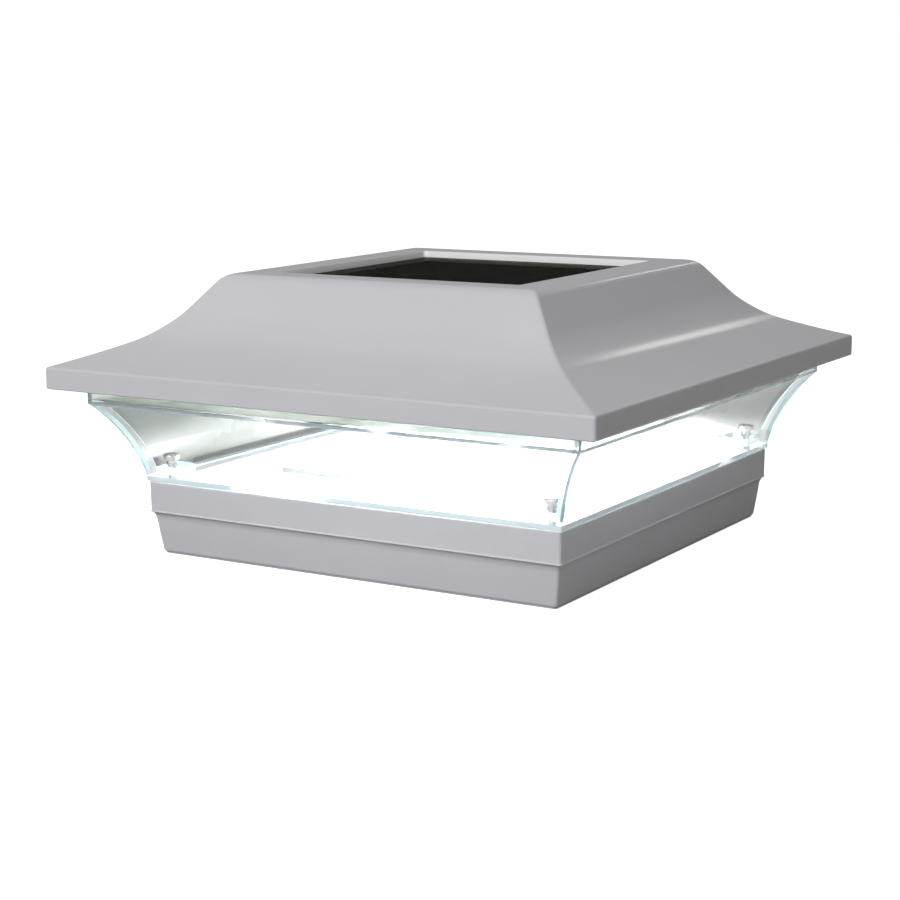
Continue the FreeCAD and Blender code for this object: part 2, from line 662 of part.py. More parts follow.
def solar_cells():
    area = 2 * (PANEL_HALF - PANEL_MARGIN)
    length = (area - (CELL_COLUMNS - 1) * CELL_SPACE) / CELL_COLUMNS
    width = (area - (CELL_ROWS - 1) * CELL_SPACE) / CELL_ROWS
    cells = []
    for column in range(CELL_COLUMNS):
        for row in range(CELL_ROWS):
            x = (column - (CELL_COLUMNS - 1) / 2) * (length + CELL_SPACE)
            y = (row - (CELL_ROWS - 1) / 2) * (width + CELL_SPACE)
            cells.append(block_about(x, y, length, width, BACKBOARD_TOP_Z, GLASS_BOTTOM_Z))
    return group(cells)


def panel_glass():
    glass = slab(PANEL_HALF, GLASS_BOTTOM_Z, GLASS_TOP_Z)
    rim = [e for e in glass.Edges if e.BoundBox.ZMin > GLASS_TOP_Z - 1e-4]
    return glass.makeChamfer(0.3, rim)


def cable_grommet():
    body = [rod(GROMMET_X, GROMMET_Y, GROMMET_RADIUS, HOUSING_TOP_Z, POCKET_FLOOR_Z),
            rod(GROMMET_X, GROMMET_Y, GROMMET_FLANGE_RADIUS, POCKET_FLOOR_Z, POCKET_FLOOR_Z + GROMMET_FLANGE),
            rod(GROMMET_X, GROMMET_Y, GROMMET_FLANGE_RADIUS, HOUSING_TOP_Z - GROMMET_FLANGE, HOUSING_TOP_Z)]
    bore = rod(GROMMET_X, GROMMET_Y, GROMMET_BORE_RADIUS,
               HOUSING_TOP_Z - GROMMET_FLANGE, POCKET_FLOOR_Z + GROMMET_FLANGE)
    return join(body).cut(bore)


# ---------------------------------------------------------------- electronics housing

def tab_places():
    """Middle of each battery tab along Y and the level of its underside, one for each cell."""
    return [(y - TAB_SHIFT, BATTERY_Z + rise) for y, rise in zip(BATTERY_Y, TAB_RISE)]


def hinge_span():
    """Ends of one door knuckle along X, on the +X side."""
    return KNUCKLE_OFFSET - KNUCKLE_LENGTH / 2, KNUCKLE_OFFSET + KNUCKLE_LENGTH / 2


def housing_additions():
    parts = [rod(x, y, TOWER_RADIUS, HOUSING_BOTTOM_Z, TOWER_TOP_Z) for x, y in housing_screw_places()]
    parts.append(block(-BAY_HALF - BAY_WALL, BAY_HALF + BAY_WALL, BAY_START_Y - BAY_WALL, HOUSING_HALF - 0.5,
                       HOUSING_BOTTOM_Z, BAY_CEILING_Z + BAY_ROOF))
    for side in SIDES:
        parts.append(rod(side * LAMP_POST_OFFSET, 0, LAMP_POST_RADIUS, HOUSING_FLOOR_Z, LAMP_BOARD_Z))
        parts.append(rod(side * BOARD_POST_X, BOARD_Y, BOARD_POST_RADIUS, HOUSING_FLOOR_Z, BOARD_Z))
    return parts


def housing_cuts():
    cuts = [block(-BAY_HALF, BAY_HALF, BAY_START_Y, BAY_END_Y, HOUSING_BOTTOM_Z, BAY_CEILING_Z),
            block(-DOOR_HALF - DOOR_GAP, DOOR_HALF + DOOR_GAP, DOOR_START_Y - DOOR_GAP, DOOR_END_Y + DOOR_GAP,
                  HOUSING_BOTTOM_Z, DOOR_TOP_Z + DOOR_HEADROOM),
            block_about(0, DOOR_START_Y - DOOR_GAP - NOTCH_LENGTH / 2, NOTCH_WIDTH, NOTCH_LENGTH,
                        HOUSING_BOTTOM_Z, HOUSING_BOTTOM_Z + NOTCH_DEPTH),
            slab(LAMP_HALF, HOUSING_BOTTOM_Z, HOUSING_FLOOR_Z),
            block_about(SWITCH_X, SWITCH_Y, KNOB_LENGTH + SWITCH_TRAVEL + 2 * KNOB_GAP,
                        KNOB_WIDTH + 2 * KNOB_GAP, HOUSING_BOTTOM_Z, HOUSING_FLOOR_Z)]
    for x, y in housing_screw_places():
        cuts.append(rod(x, y, HOUSING_HEAD_RADIUS + HEAD_POCKET_GAP, HOUSING_BOTTOM_Z, HEAD_SEAT_Z))
        cuts.append(rod(x, y, HOUSING_SCREW_RADIUS + THREAD_GAP, HEAD_SEAT_Z, TOWER_TOP_Z))
    for side in SIDES:
        tip = SMALL_SCREW_LENGTH + THREAD_GAP
        cuts.append(rod(side * LAMP_POST_OFFSET, 0, SMALL_SCREW_RADIUS + THREAD_GAP,
                        LAMP_BOARD_Z + LAMP_BOARD_THICKNESS - tip, LAMP_BOARD_Z))
        cuts.append(rod(side * BOARD_POST_X, BOARD_Y, SMALL_SCREW_RADIUS + THREAD_GAP,
                        BOARD_TOP_Z - tip, BOARD_Z))
        near, far = hinge_span()
        cuts.append(block(*sorted((side * (near - EAR_WIDTH - DOOR_GAP), side * (far + EAR_WIDTH + DOOR_GAP))),
                          HINGE_Y - KNUCKLE_RADIUS, HINGE_Y + KNUCKLE_RADIUS + DOOR_GAP,
                          HOUSING_BOTTOM_Z, HINGE_Z + KNUCKLE_RADIUS + DOOR_GAP))
    for y, z in tab_places():
        cuts.append(block(-BAY_HALF - BAY_WALL, -BAY_HALF, y - TAB_WIDTH / 2 - TAB_GAP,
                          y + TAB_WIDTH / 2 + TAB_GAP, z - TAB_GAP, z + CONTACT_THICKNESS + TAB_GAP))
    return cuts


def hinge_ears():
    """Lugs of the housing that carry the hinge pin, one on each side of both knuckles."""
    lugs = []
    near, far = hinge_span()
    for side in SIDES:
        for x0 in (near - EAR_WIDTH - DOOR_GAP, far + DOOR_GAP):
            x0, x1 = sorted((side * x0, side * (x0 + EAR_WIDTH)))
            lugs.append(block(x0, x1, HINGE_Y - 1.4, DOOR_END_Y + 0.6,
                              HOUSING_BOTTOM_Z + 0.5, HINGE_Z + KNUCKLE_RADIUS + 0.5))
    return lugs


def electronics_housing():
    shell = rounded_slab(HOUSING_HALF, HOUSING_CORNER, HOUSING_BOTTOM_Z, HOUSING_TOP_Z)
    inner = rounded_slab(HOUSING_HALF - HOUSING_WALL, HOUSING_CORNER - HOUSING_WALL,
                         HOUSING_FLOOR_Z, HOUSING_TOP_Z)
    body = join([shell.cut(inner)] + housing_additions()).cut(housing_cuts())
    pin = rod_x(HINGE_Y, HINGE_Z, HINGE_PIN_RADIUS, -HOUSING_HALF + 1, HOUSING_HALF - 1)
    body = body.fuse(hinge_ears()).removeSplitter()
    near, far = hinge_span()
    reach = far + EAR_WIDTH + DOOR_GAP
    return body.cut(pin.common(block(-reach, reach, 0, HOUSING_HALF, HOUSING_BOTTOM_Z, HOUSING_TOP_Z)))


def housing_screws():
    return group(screw(x, y, HEAD_SEAT_Z, HEAD_SEAT_Z - HOUSING_HEAD_HEIGHT, HOUSING_HEAD_RADIUS,
                       HOUSING_SCREW_RADIUS, HEAD_SEAT_Z + HOUSING_SCREW_LENGTH)
                 for x, y in housing_screw_places())


# ---------------------------------------------------------------- battery bay

def batteries():
    cells = []
    for index, y in enumerate(BATTERY_Y):
        side = 1 if index == 0 else -1
        nub_x = side * (CONTACT_FACE_X - DIMPLE_HEIGHT - TOUCH_GAP)
        can_x = nub_x - side * NUB_LENGTH
        end_x = nub_x - side * BATTERY_LENGTH
        can = rod_x(y, BATTERY_Z, BATTERY_RADIUS, min(can_x, end_x), max(can_x, end_x))
        can = can.makeFillet(0.7, can.Edges[0:1] + can.Edges[2:3])
        nub = rod_x(y, BATTERY_Z, NUB_RADIUS, min(nub_x, can_x), max(nub_x, can_x))
        cells.append(can.fuse(nub).removeSplitter())
    return group(cells)


def contact(x, y0, y1):
    """Flat part of a battery contact, against the bay's end wall at x."""
    low = BATTERY_Z - CONTACT_HEIGHT / 2
    inner = x - math.copysign(CONTACT_THICKNESS, x)
    return block(min(x, inner), max(x, inner), y0, y1, low, low + CONTACT_HEIGHT)


def dimple(side, y):
    face = side * CONTACT_FACE_X
    tip = face - side * DIMPLE_HEIGHT
    return rod_x(y, BATTERY_Z, DIMPLE_RADIUS, min(face, tip), max(face, tip))


def contact_plates():
    half = CONTACT_WIDTH / 2
    bridge = join([contact(BAY_HALF, BATTERY_Y[0] - half, BATTERY_Y[1] + half), dimple(1, BATTERY_Y[0])])
    plates = [bridge]
    for y, (tab_y, z) in zip(BATTERY_Y, tab_places()):
        tab = block(-BAY_HALF - BAY_WALL - TAB_LENGTH, -BAY_HALF, tab_y - TAB_WIDTH / 2, tab_y + TAB_WIDTH / 2,
                    z, z + CONTACT_THICKNESS)
        pieces = [contact(-BAY_HALF, y - half, y + half), tab]
        if y == BATTERY_Y[1]:
            pieces.append(dimple(-1, y))
        plates.append(join(pieces))
    return group(plates)


def spring_coil():
    """Round-wire coil on the X axis from 0 to its length, made of half turns that lean to and fro."""
    halves = round(2 * SPRING_TURNS)
    rise = (SPRING_LENGTH - SPRING_WIRE) / halves
    lean = math.degrees(math.atan2(rise / 2, SPRING_RADIUS))
    radius = math.hypot(SPRING_RADIUS, rise / 2)
    bends = []
    for n in range(halves):
        bend = Part.makeTorus(radius, SPRING_WIRE / 2, at(0, 0, 0), at(0, 0, 1), 0, 360, 180)
        bend.rotate(at(0, 0, 0), at(0, 1, 0), lean)
        bend.rotate(at(0, 0, 0), at(0, 0, 1), 180 * n)
        bend.translate(at(0, 0, SPRING_WIRE / 2 + (n + 0.5) * rise))
        bends.append(bend)
    coil = join(bends)
    coil.rotate(at(0, 0, 0), at(0, 1, 0), 90)
    return coil


def contact_springs():
    springs = []
    for side, y in ((-1, BATTERY_Y[0]), (1, BATTERY_Y[1])):
        coil = spring_coil()
        coil.translate(at(TOUCH_GAP / 5 - CONTACT_FACE_X, 0, BATTERY_Z))
        coil.rotate(at(0, 0, 0), at(0, 0, 1), 0 if side < 0 else 180)
        coil.translate(at(0, y, 0))
        springs.append(coil)
    return group(springs)


def battery_door():
    plate = block(-DOOR_HALF, DOOR_HALF, DOOR_START_Y, HINGE_Y - KNUCKLE_RADIUS - DOOR_GAP,
                  HOUSING_BOTTOM_Z, DOOR_TOP_Z)
    latch_y = BAY_START_Y + LATCH_INSET
    pieces = [plate, block(-LATCH_WIDTH / 2, LATCH_WIDTH / 2, latch_y, latch_y + LATCH_WALL,
                           DOOR_TOP_Z, DOOR_TOP_Z + LATCH_HEIGHT)]
    near, far = hinge_span()
    for side in SIDES:
        x0, x1 = sorted((side * near, side * far))
        pieces.append(rod_x(HINGE_Y, HINGE_Z, KNUCKLE_RADIUS, x0, x1))
        pieces.append(block(x0, x1, HINGE_Y - KNUCKLE_RADIUS - 1, HINGE_Y, HOUSING_BOTTOM_Z, DOOR_TOP_Z))
    grips = [block(-9, 9, DOOR_START_Y + 2.4 + 2.2 * n, DOOR_START_Y + 3.4 + 2.2 * n,
                   HOUSING_BOTTOM_Z, HOUSING_BOTTOM_Z + 0.4) for n in range(3)]
    bore = rod_x(HINGE_Y, HINGE_Z, HINGE_PIN_RADIUS + HINGE_GAP, -far - 1, far + 1)
    return join(pieces).cut(grips + [bore])


def hinge_pin():
    far = hinge_span()[1] + EAR_WIDTH + DOOR_GAP
    return rod_x(HINGE_Y, HINGE_Z, HINGE_PIN_RADIUS, -far, far)


# ---------------------------------------------------------------- lamp

def lamp_cover():
    body = join([slab(LAMP_HALF - LAMP_GAP, HOUSING_BOTTOM_Z, LAMP_BOARD_Z),
                 slab(LAMP_HALF + LAMP_FLANGE, HOUSING_FLOOR_Z, HOUSING_FLOOR_Z + LAMP_COVER_WALL)])
    return body.cut(slab(LAMP_HALF - LAMP_GAP - LAMP_COVER_WALL,
                         HOUSING_BOTTOM_Z + LAMP_COVER_WALL, LAMP_BOARD_Z))


def lamp_board():
    board = block_about(0, 0, LAMP_BOARD_LENGTH, LAMP_BOARD_WIDTH,
                        LAMP_BOARD_Z, LAMP_BOARD_Z + LAMP_BOARD_THICKNESS)
    return board.cut([rod(side * LAMP_POST_OFFSET, 0, SMALL_SCREW_RADIUS + THREAD_GAP,
                          LAMP_BOARD_Z, LAMP_BOARD_Z + LAMP_BOARD_THICKNESS) for side in SIDES])


def lamp_chips():
    return group(block_about(sx * CHIP_OFFSET, sy * CHIP_OFFSET, CHIP_LENGTH, CHIP_WIDTH,
                             LAMP_BOARD_Z - CHIP_HEIGHT, LAMP_BOARD_Z) for sx, sy in CORNERS)


def board_screws(offset, y, top_z):
    return group(screw(side * offset, y, top_z, top_z + SMALL_HEAD_HEIGHT, SMALL_HEAD_RADIUS,
                       SMALL_SCREW_RADIUS, top_z - SMALL_SCREW_LENGTH) for side in SIDES)


# ---------------------------------------------------------------- control board and switch

def control_board():
    board = block_about(0, BOARD_Y, BOARD_LENGTH, BOARD_WIDTH, BOARD_Z, BOARD_TOP_Z)
    holes = [rod(side * BOARD_POST_X, BOARD_Y, SMALL_SCREW_RADIUS + THREAD_GAP, BOARD_Z, BOARD_TOP_Z)
             for side in SIDES]
    holes += [rod(SWITCH_X + n * PIN_SPACING, SWITCH_Y, PIN_RADIUS + THREAD_GAP, BOARD_Z, BOARD_TOP_Z)
              for n in (-1, 0, 1)]
    return board.cut(holes)


def board_place(place):
    return place[0], BOARD_Y + place[1]


def capacitor():
    x, y = board_place(CAPACITOR_PLACE)
    can = rod(x, y, CAPACITOR_RADIUS, BOARD_TOP_Z, BOARD_TOP_Z + CAPACITOR_HEIGHT)
    return can.makeFillet(0.4, can.Edges[0:1])


def coil():
    x, y = board_place(COIL_PLACE)
    waist = rod(x, y, COIL_RADIUS - COIL_WAIST, BOARD_TOP_Z, BOARD_TOP_Z + COIL_HEIGHT)
    ends = [rod(x, y, COIL_RADIUS, BOARD_TOP_Z, BOARD_TOP_Z + COIL_RIM),
            rod(x, y, COIL_RADIUS, BOARD_TOP_Z + COIL_HEIGHT - COIL_RIM, BOARD_TOP_Z + COIL_HEIGHT)]
    return join([waist] + ends)


def driver_chip():
    return block_about(*board_place(DRIVER_PLACE), DRIVER_SIZE[0], DRIVER_SIZE[1], BOARD_TOP_Z,
                       BOARD_TOP_Z + DRIVER_SIZE[2])


def slider_room():
    """Channel inside the switch that the slider moves in, and the slot its stem goes through."""
    length = SLIDER_LENGTH + SWITCH_TRAVEL + 2 * KNOB_GAP
    floor = SWITCH_BOTTOM_Z + SWITCH_SKIN
    return [block_about(SWITCH_X, SWITCH_Y, length, SLIDER_WIDTH + 2 * KNOB_GAP,
                        floor, floor + SLIDER_HEIGHT + 2 * KNOB_GAP),
            block_about(SWITCH_X, SWITCH_Y, KNOB_LENGTH + SWITCH_TRAVEL + 2 * KNOB_GAP,
                        KNOB_WIDTH + 2 * KNOB_GAP, SWITCH_BOTTOM_Z, floor)]


def switch_body():
    can = block_about(SWITCH_X, SWITCH_Y, SWITCH_LENGTH, SWITCH_WIDTH, SWITCH_BOTTOM_Z, BOARD_Z)
    pins = [rod(SWITCH_X + n * PIN_SPACING, SWITCH_Y, PIN_RADIUS, BOARD_Z - 1, BOARD_Z + PIN_LENGTH)
            for n in (-1, 0, 1)]
    return join([can] + pins).cut(slider_room())


def switch_knob():
    x = SWITCH_X - SWITCH_TRAVEL / 2
    floor = SWITCH_BOTTOM_Z + SWITCH_SKIN + KNOB_GAP
    slider = block_about(x, SWITCH_Y, SLIDER_LENGTH, SLIDER_WIDTH, floor, floor + SLIDER_HEIGHT)
    stem = block_about(x, SWITCH_Y, KNOB_LENGTH, KNOB_WIDTH, HOUSING_BOTTOM_Z - KNOB_PROUD, floor)
    return join([slider, stem])


# ---------------------------------------------------------------- leads

def panel_leads():
    wires = []
    for side in SIDES:
        x = GROMMET_X + side * LEAD_SPACING / 2
        level = BOARD_TOP_Z + PANEL_LEAD_LEVEL
        end_y = GROMMET_Y - PANEL_LEAD_RUN
        wires.append(lead([(x, GROMMET_Y, BACKBOARD_BOTTOM_Z), (x, GROMMET_Y, level),
                           (x, end_y, level), (x, end_y, BOARD_TOP_Z)]))
    return group(wires)


def battery_leads():
    wires = []
    x = CELL_LEAD_INSET - BAY_HALF - BAY_WALL - TAB_LENGTH
    for (tab_y, z), turn, end in zip(tab_places(), CELL_LEAD_TURNS, CELL_LEAD_ENDS):
        level = z + CONTACT_THICKNESS + LEAD_RADIUS
        end_x, end_y = end[0] - BOARD_LENGTH / 2, BOARD_Y + end[1]
        wires.append(lead([(x, tab_y + CELL_LEAD_INSET, level), (x, BOARD_Y + turn, level),
                           (end_x, end_y, level), (end_x, end_y, BOARD_TOP_Z)]))
    return group(wires)


def lamp_leads():
    wires = []
    start_y = LAMP_LEAD_INSET - LAMP_BOARD_WIDTH / 2
    end_y = BOARD_Y + LAMP_LEAD_END
    level = BOARD_TOP_Z + LAMP_LEAD_LEVEL
    for x in LAMP_LEAD_PLACES:
        wires.append(lead([(x, start_y, LAMP_BOARD_Z + LAMP_BOARD_THICKNESS), (x, start_y, level),
                           (x, end_y, level), (x, end_y, BOARD_TOP_Z)]))
    return group(wires)


# ---------------------------------------------------------------- export

PARTS = {
    "base_skirt": base_skirt,
    "reflector_sheet": reflector_sheet,
    "lens": lens,
    "lens_screws": lens_screws,
    "roof_shell": roof_shell,
    "lens_seal": lens_seal,
    "panel_gasket": panel_gasket,
    "panel_backboard": panel_backboard,
    "solar_cells": solar_cells,
    "panel_glass": panel_glass,
    "cable_grommet": cable_grommet,
    "electronics_housing": electronics_housing,
    "housing_screws": housing_screws,
    "batteries": batteries,
    "contact_plates": contact_plates,
    "contact_springs": contact_springs,
    "battery_door": battery_door,
    "hinge_pin": hinge_pin,
    "lamp_cover": lamp_cover,
    "lamp_board": lamp_board,
    "lamp_chips": lamp_chips,
    "lamp_screws": lambda: board_screws(LAMP_POST_OFFSET, 0, LAMP_BOARD_Z + LAMP_BOARD_THICKNESS),
    "control_board": control_board,
    "board_screws": lambda: board_screws(BOARD_POST_X, BOARD_Y, BOARD_TOP_Z),
    "capacitor": capacitor,
    "coil": coil,
    "driver_chip": driver_chip,
    "switch_body": switch_body,
    "switch_knob": switch_knob,
    "panel_leads": panel_leads,
    "battery_leads": battery_leads,
    "lamp_leads": lamp_leads,
}


os.makedirs("parts", exist_ok=True)
for name, make in PARTS.items():
    shape = make()
    shape.exportStep(f"parts/{name}.step")
    box = shape.BoundBox
    state = "ok" if shape.isValid() and all(s.isClosed() for s in shape.Shells) else "CHECK"
    print(f"{name:20s} {state} solids {len(shape.Solids)} volume {shape.Volume / 1000:8.3f} cm3 "
          f"x {box.XMin:.2f}..{box.XMax:.2f} y {box.YMin:.2f}..{box.YMax:.2f} z {box.ZMin:.2f}..{box.ZMax:.2f}")
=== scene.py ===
"""Solar deck post cap light: the looks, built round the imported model."""
import bmesh
import bpy
import math
from mathutils import Matrix, Vector


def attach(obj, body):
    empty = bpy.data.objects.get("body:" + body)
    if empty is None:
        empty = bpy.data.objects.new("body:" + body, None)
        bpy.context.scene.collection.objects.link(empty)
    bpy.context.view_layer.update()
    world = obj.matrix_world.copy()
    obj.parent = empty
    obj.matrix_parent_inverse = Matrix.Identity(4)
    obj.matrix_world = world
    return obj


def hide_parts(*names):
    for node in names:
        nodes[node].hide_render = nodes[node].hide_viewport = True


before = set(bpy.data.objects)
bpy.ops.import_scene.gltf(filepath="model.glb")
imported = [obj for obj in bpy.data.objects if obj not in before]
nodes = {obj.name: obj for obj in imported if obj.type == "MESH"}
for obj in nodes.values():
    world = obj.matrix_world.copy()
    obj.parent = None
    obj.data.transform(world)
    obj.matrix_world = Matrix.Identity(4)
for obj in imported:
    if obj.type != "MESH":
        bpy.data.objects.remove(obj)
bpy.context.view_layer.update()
scene = bpy.context.scene

# ---------------------------------------------------------------- skirt
# Cast aluminium, upright band over a shallow cove, tapering to the foot, open underneath. Powder coated
# in a satin pale grey that wears a little lighter on the edges. The post goes up into it from below.

HIP_STEPS = 4                   # faces round each upright corner
SAME_CURVE = 2e-5               # points of an outline closer than this become one
TOUCHING = 1e-6                 # points of a piece closer than this are one
CREASE = math.radians(32.0)     # edges sharper than this stay sharp


class Wire:
    """An output socket of a shader tree, or the tree's own maker of nodes."""

    def __init__(self, tree, socket=None):
        self.tree = tree
        self.socket = socket

    def node(self, kind, settings=None, pick=0, **inputs):
        """A node. Its inputs go by their socket's name, with _ for a space, or by place as n0, n1."""
        made = self.tree.nodes.new(kind)
        for key, value in (settings or {}).items():
            setattr(made, key, value)
        for key, value in inputs.items():
            by_place = key[0] == "n" and key[1:].isdigit()
            socket = made.inputs[int(key[1:]) if by_place else key.replace("_", " ")]
            if isinstance(value, Wire):
                self.tree.links.new(value.socket, socket)
            else:
                socket.default_value = value
        return Wire(self.tree, made.outputs[pick])

    def calc(self, operation, other, flip=False):
        first, second = (other, self) if flip else (self, other)
        return self.node("ShaderNodeMath", {"operation": operation}, n0=first, n1=second)

    def __add__(self, other):
        return self.calc("ADD", other)

    def __radd__(self, other):
        return self.calc("ADD", other, True)

    def __sub__(self, other):
        return self.calc("SUBTRACT", other)

    def __rsub__(self, other):
        return self.calc("SUBTRACT", other, True)

    def __mul__(self, other):
        return self.calc("MULTIPLY", other)

    def __rmul__(self, other):
        return self.calc("MULTIPLY", other, True)

    def __mod__(self, other):
        return self.calc("FLOORED_MODULO", other)

    def __lt__(self, other):
        return self.calc("LESS_THAN", other)

    def __gt__(self, other):
        return self.calc("GREATER_THAN", other)

    def __abs__(self):
        return self.calc("ABSOLUTE", 0.0)

    def larger(self, other):
        return self.calc("MAXIMUM", other)

    def between(self, low, high):
        """1 from low to high, 0 elsewhere."""
        return (self > low) * (self < high)

    def clip(self, low, high):
        """0 at low, 1 at high, smooth between them."""
        return self.node("ShaderNodeMapRange", {"interpolation_type": "SMOOTHSTEP"},
                         Value=self, From_Min=low, From_Max=high)

    def tint(self, dark, light):
        """dark where this is 0, light where it is 1. Each is a colour, or a wire that carries one."""
        dark, light = (c if isinstance(c, Wire) else (*c, 1.0) for c in (dark, light))
        return self.node("ShaderNodeMix", {"data_type": "RGBA"}, pick=2, n0=self, n6=dark, n7=light)

    def noise(self, scale, detail, roughness=0.5):
        place = self.node("ShaderNodeTexCoord", pick="Object")
        return self.node("ShaderNodeTexNoise", Vector=place, Scale=scale, Detail=detail,
                         Roughness=roughness)

    def axis(self, letter):
        place = self.node("ShaderNodeTexCoord", pick="Object")
        return self.node("ShaderNodeSeparateXYZ", pick=letter, Vector=place)

    def grazing(self):
        """0 where the surface faces the eye, 1 where it is seen edge on."""
        return self.node("ShaderNodeLayerWeight", pick="Facing", Blend=0.5)

    def edge(self, width):
        """About 1 within width of a sharp edge, 0 on flats."""
        bent = self.node("ShaderNodeBevel", {"samples": 4}, Radius=width)
        flat = self.node("ShaderNodeNewGeometry", pick="Normal")
        agree = self.node("ShaderNodeVectorMath", {"operation": "DOT_PRODUCT"}, pick="Value",
                          n0=bent, n1=flat)
        return 1.0 - agree

    def bump(self, height, distance, strength, under=None):
        inputs = {"Height": height, "Distance": distance, "Strength": strength}
        if under:
            inputs["Normal"] = under
        return self.node("ShaderNodeBump", **inputs)


def principled(material):
    return material.node_tree.nodes["Principled BSDF"]


def finish(name, **fixed):
    """A new material with the fixed values on its Principled shader, and its maker of nodes."""
    material = bpy.data.materials.new(name)
    material.use_nodes = True
    for key, value in fixed.items():
        principled(material).inputs[key.replace("_", " ")].default_value = value
    return material, Wire(material.node_tree)


def feed(material, **wires):
    for key, wire in wires.items():
        material.node_tree.links.new(wire.socket, principled(material).inputs[key.replace("_", " ")])


def round_points(bm, points, run, segments):
    """The curve runs that far along both neighbours of each point."""
    bmesh.ops.bevel(bm, geom=points, offset=run, offset_type="OFFSET", profile=0.5, segments=segments,
                    affect="VERTICES", clamp_overlap=False, material=-1)


def square_turned(name, outline, hip, steps=6):
    """A piece with the same outline on all four sides and rounded upright corners.

    The outline is a list of (half width, height, rounding) in millimetres, where the rounding is how far
    the curve runs along both neighbours of that corner. It is drawn as a face and its corners are
    bevelled. Its border is carried round one corner of radius hip and along one side, and that quarter
    is repeated. Points on the axis stay there.
    """
    bm = bmesh.new()
    corners = [bm.verts.new((half / 1000, 0.0, z / 1000)) for half, z, run in outline]
    bm.faces.new(corners)
    for corner, (half, z, run) in zip(corners, outline):
        if run:
            round_points(bm, [corner], run / 1000, max(steps, int(run * 1.6)))
    bmesh.ops.delete(bm, geom=bm.faces[:], context="FACES_ONLY")
    on_axis = [e for e in bm.edges if all(v.co.x < TOUCHING for v in e.verts)]
    bmesh.ops.delete(bm, geom=on_axis, context="EDGES")
    bmesh.ops.remove_doubles(bm, verts=bm.verts[:], dist=SAME_CURVE)
    lean = Matrix(((1, 0, 0, 0), (1, 1, 0, 0), (0, 0, 1, 0), (0, 0, 0, 1)))
    bmesh.ops.transform(bm, matrix=lean, verts=bm.verts[:])
    radius = hip / 1000
    chain = bm.edges[:]
    bmesh.ops.translate(bm, vec=(0, -radius, 0), verts=[v for v in bm.verts if v.co.x > TOUCHING])
    for step in range(HIP_STEPS + 1):
        before = set(bm.verts)
        bmesh.ops.extrude_edge_only(bm, edges=chain)
        chain = [e for e in bm.edges if not before.intersection(e.verts)]
        carried = [v for v in bm.verts if v not in before and v.co.y > TOUCHING]
        if step < HIP_STEPS:
            here, there = (math.pi / 2 * k / HIP_STEPS for k in (step, step + 1))
            move = (math.cos(there) - math.cos(here), math.sin(there) - math.sin(here), 0)
            bmesh.ops.translate(bm, vec=Vector(move) * radius, verts=carried)
        else:
            bmesh.ops.scale(bm, vec=(-1, 1, 1), verts=carried)
    bmesh.ops.spin(bm, geom=bm.verts[:] + bm.edges[:] + bm.faces[:], cent=(0, 0, 0), axis=(0, 0, 1),
                   angle=math.radians(270), steps=3, use_duplicate=True)
    bmesh.ops.remove_doubles(bm, verts=bm.verts[:], dist=TOUCHING)
    return shaped(bm, name)


def shaped(bm, name):
    """The finished mesh as an object at the origin, smooth but for edges sharper than the crease."""
    bmesh.ops.recalc_face_normals(bm, faces=bm.faces[:])
    for face in bm.faces:
        face.smooth = True
    for e in bm.edges:
        e.smooth = len(e.link_faces) == 2 and e.calc_face_angle() < CREASE
    data = bpy.data.meshes.new(name)
    bm.to_mesh(data)
    bm.free()
    piece = bpy.data.objects.new(name, data)
    scene.collection.objects.link(piece)
    weighted = piece.modifiers.new("even_shading", "WEIGHTED_NORMAL")
    weighted.keep_sharp = True
    weighted.weight = 60
    return piece


def fit(piece, body, material, slot, *replaced):
    piece.data.materials.append(material)
    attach(piece, body)
    if replaced:
        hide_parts(*replaced)


def powder_coat(name, tone):
    """Satin paint with a fine orange peel. Its gloss is a coat that fades at grazing angles."""
    coat, wire = finish(name, IOR=1.45, Specular_IOR_Level=0.0, Coat_Roughness=0.13)
    peel = wire.noise(900.0, 2.0)
    drift = wire.noise(28.0, 3.0)
    pinholes = wire.noise(3600.0, 1.0)
    rub = wire.edge(0.0006).clip(0.02, 0.25)
    worn = (drift * 0.6 + rub * 0.4).clip(0.2, 0.8)
    colour = worn.tint([c * 0.955 for c in tone], [min(1.0, c * 1.03) for c in tone])
    rough = 0.40 + drift * 0.10 + pinholes * 0.05 - rub * 0.05
    gloss = ((1.0 - wire.grazing() * 1.05) * (0.85 + drift * 0.15)).larger(0.05)
    relief = wire.bump(peel, 0.00006, 0.35)
    relief = wire.bump(pinholes, 0.00001, 0.30, relief)
    feed(coat, Base_Color=colour, Roughness=rough, Coat_Weight=gloss, Normal=relief)
    return coat


cast_paint = powder_coat("cast_powder_coat", (0.60, 0.60, 0.625))

skirt_outline = [
    (65.0, 0.0, 0.3), (67.5, 0.0, 0.1), (67.5, 0.36, 0), (68.0, 0.85, 0.4),             # foot
    (69.1, 8.6, 2.0), (69.35, 11.4, 1.2), (70.05, 12.85, 0.2),                          # cove
    (70.7, 13.05, 0.15), (70.7, 13.35, 0.12), (70.5, 13.65, 0.15), (70.6, 22.6, 0.35),  # bead, band
    (68.5, 22.6, 0.15), (68.5, 21.7, 0), (0.0, 21.7, 0), (0.0, 19.6, 0),                # sheet's pocket
    (56.0, 19.6, 0.2), (56.0, 17.2, 0.2), (65.0, 17.2, 0.3),                            # post's seat
]
post_skirt = square_turned("post_skirt", skirt_outline, hip=0.8)
fit(post_skirt, "base", cast_paint, "powder_coat", "base_skirt")


# ---------------------------------------------------------------- reflector
# A thin square sheet with a gloss white enamel, dropped into the top of the skirt under the lens. It is lit
# from above by the lamp, so it is the brightest thing in the picture.

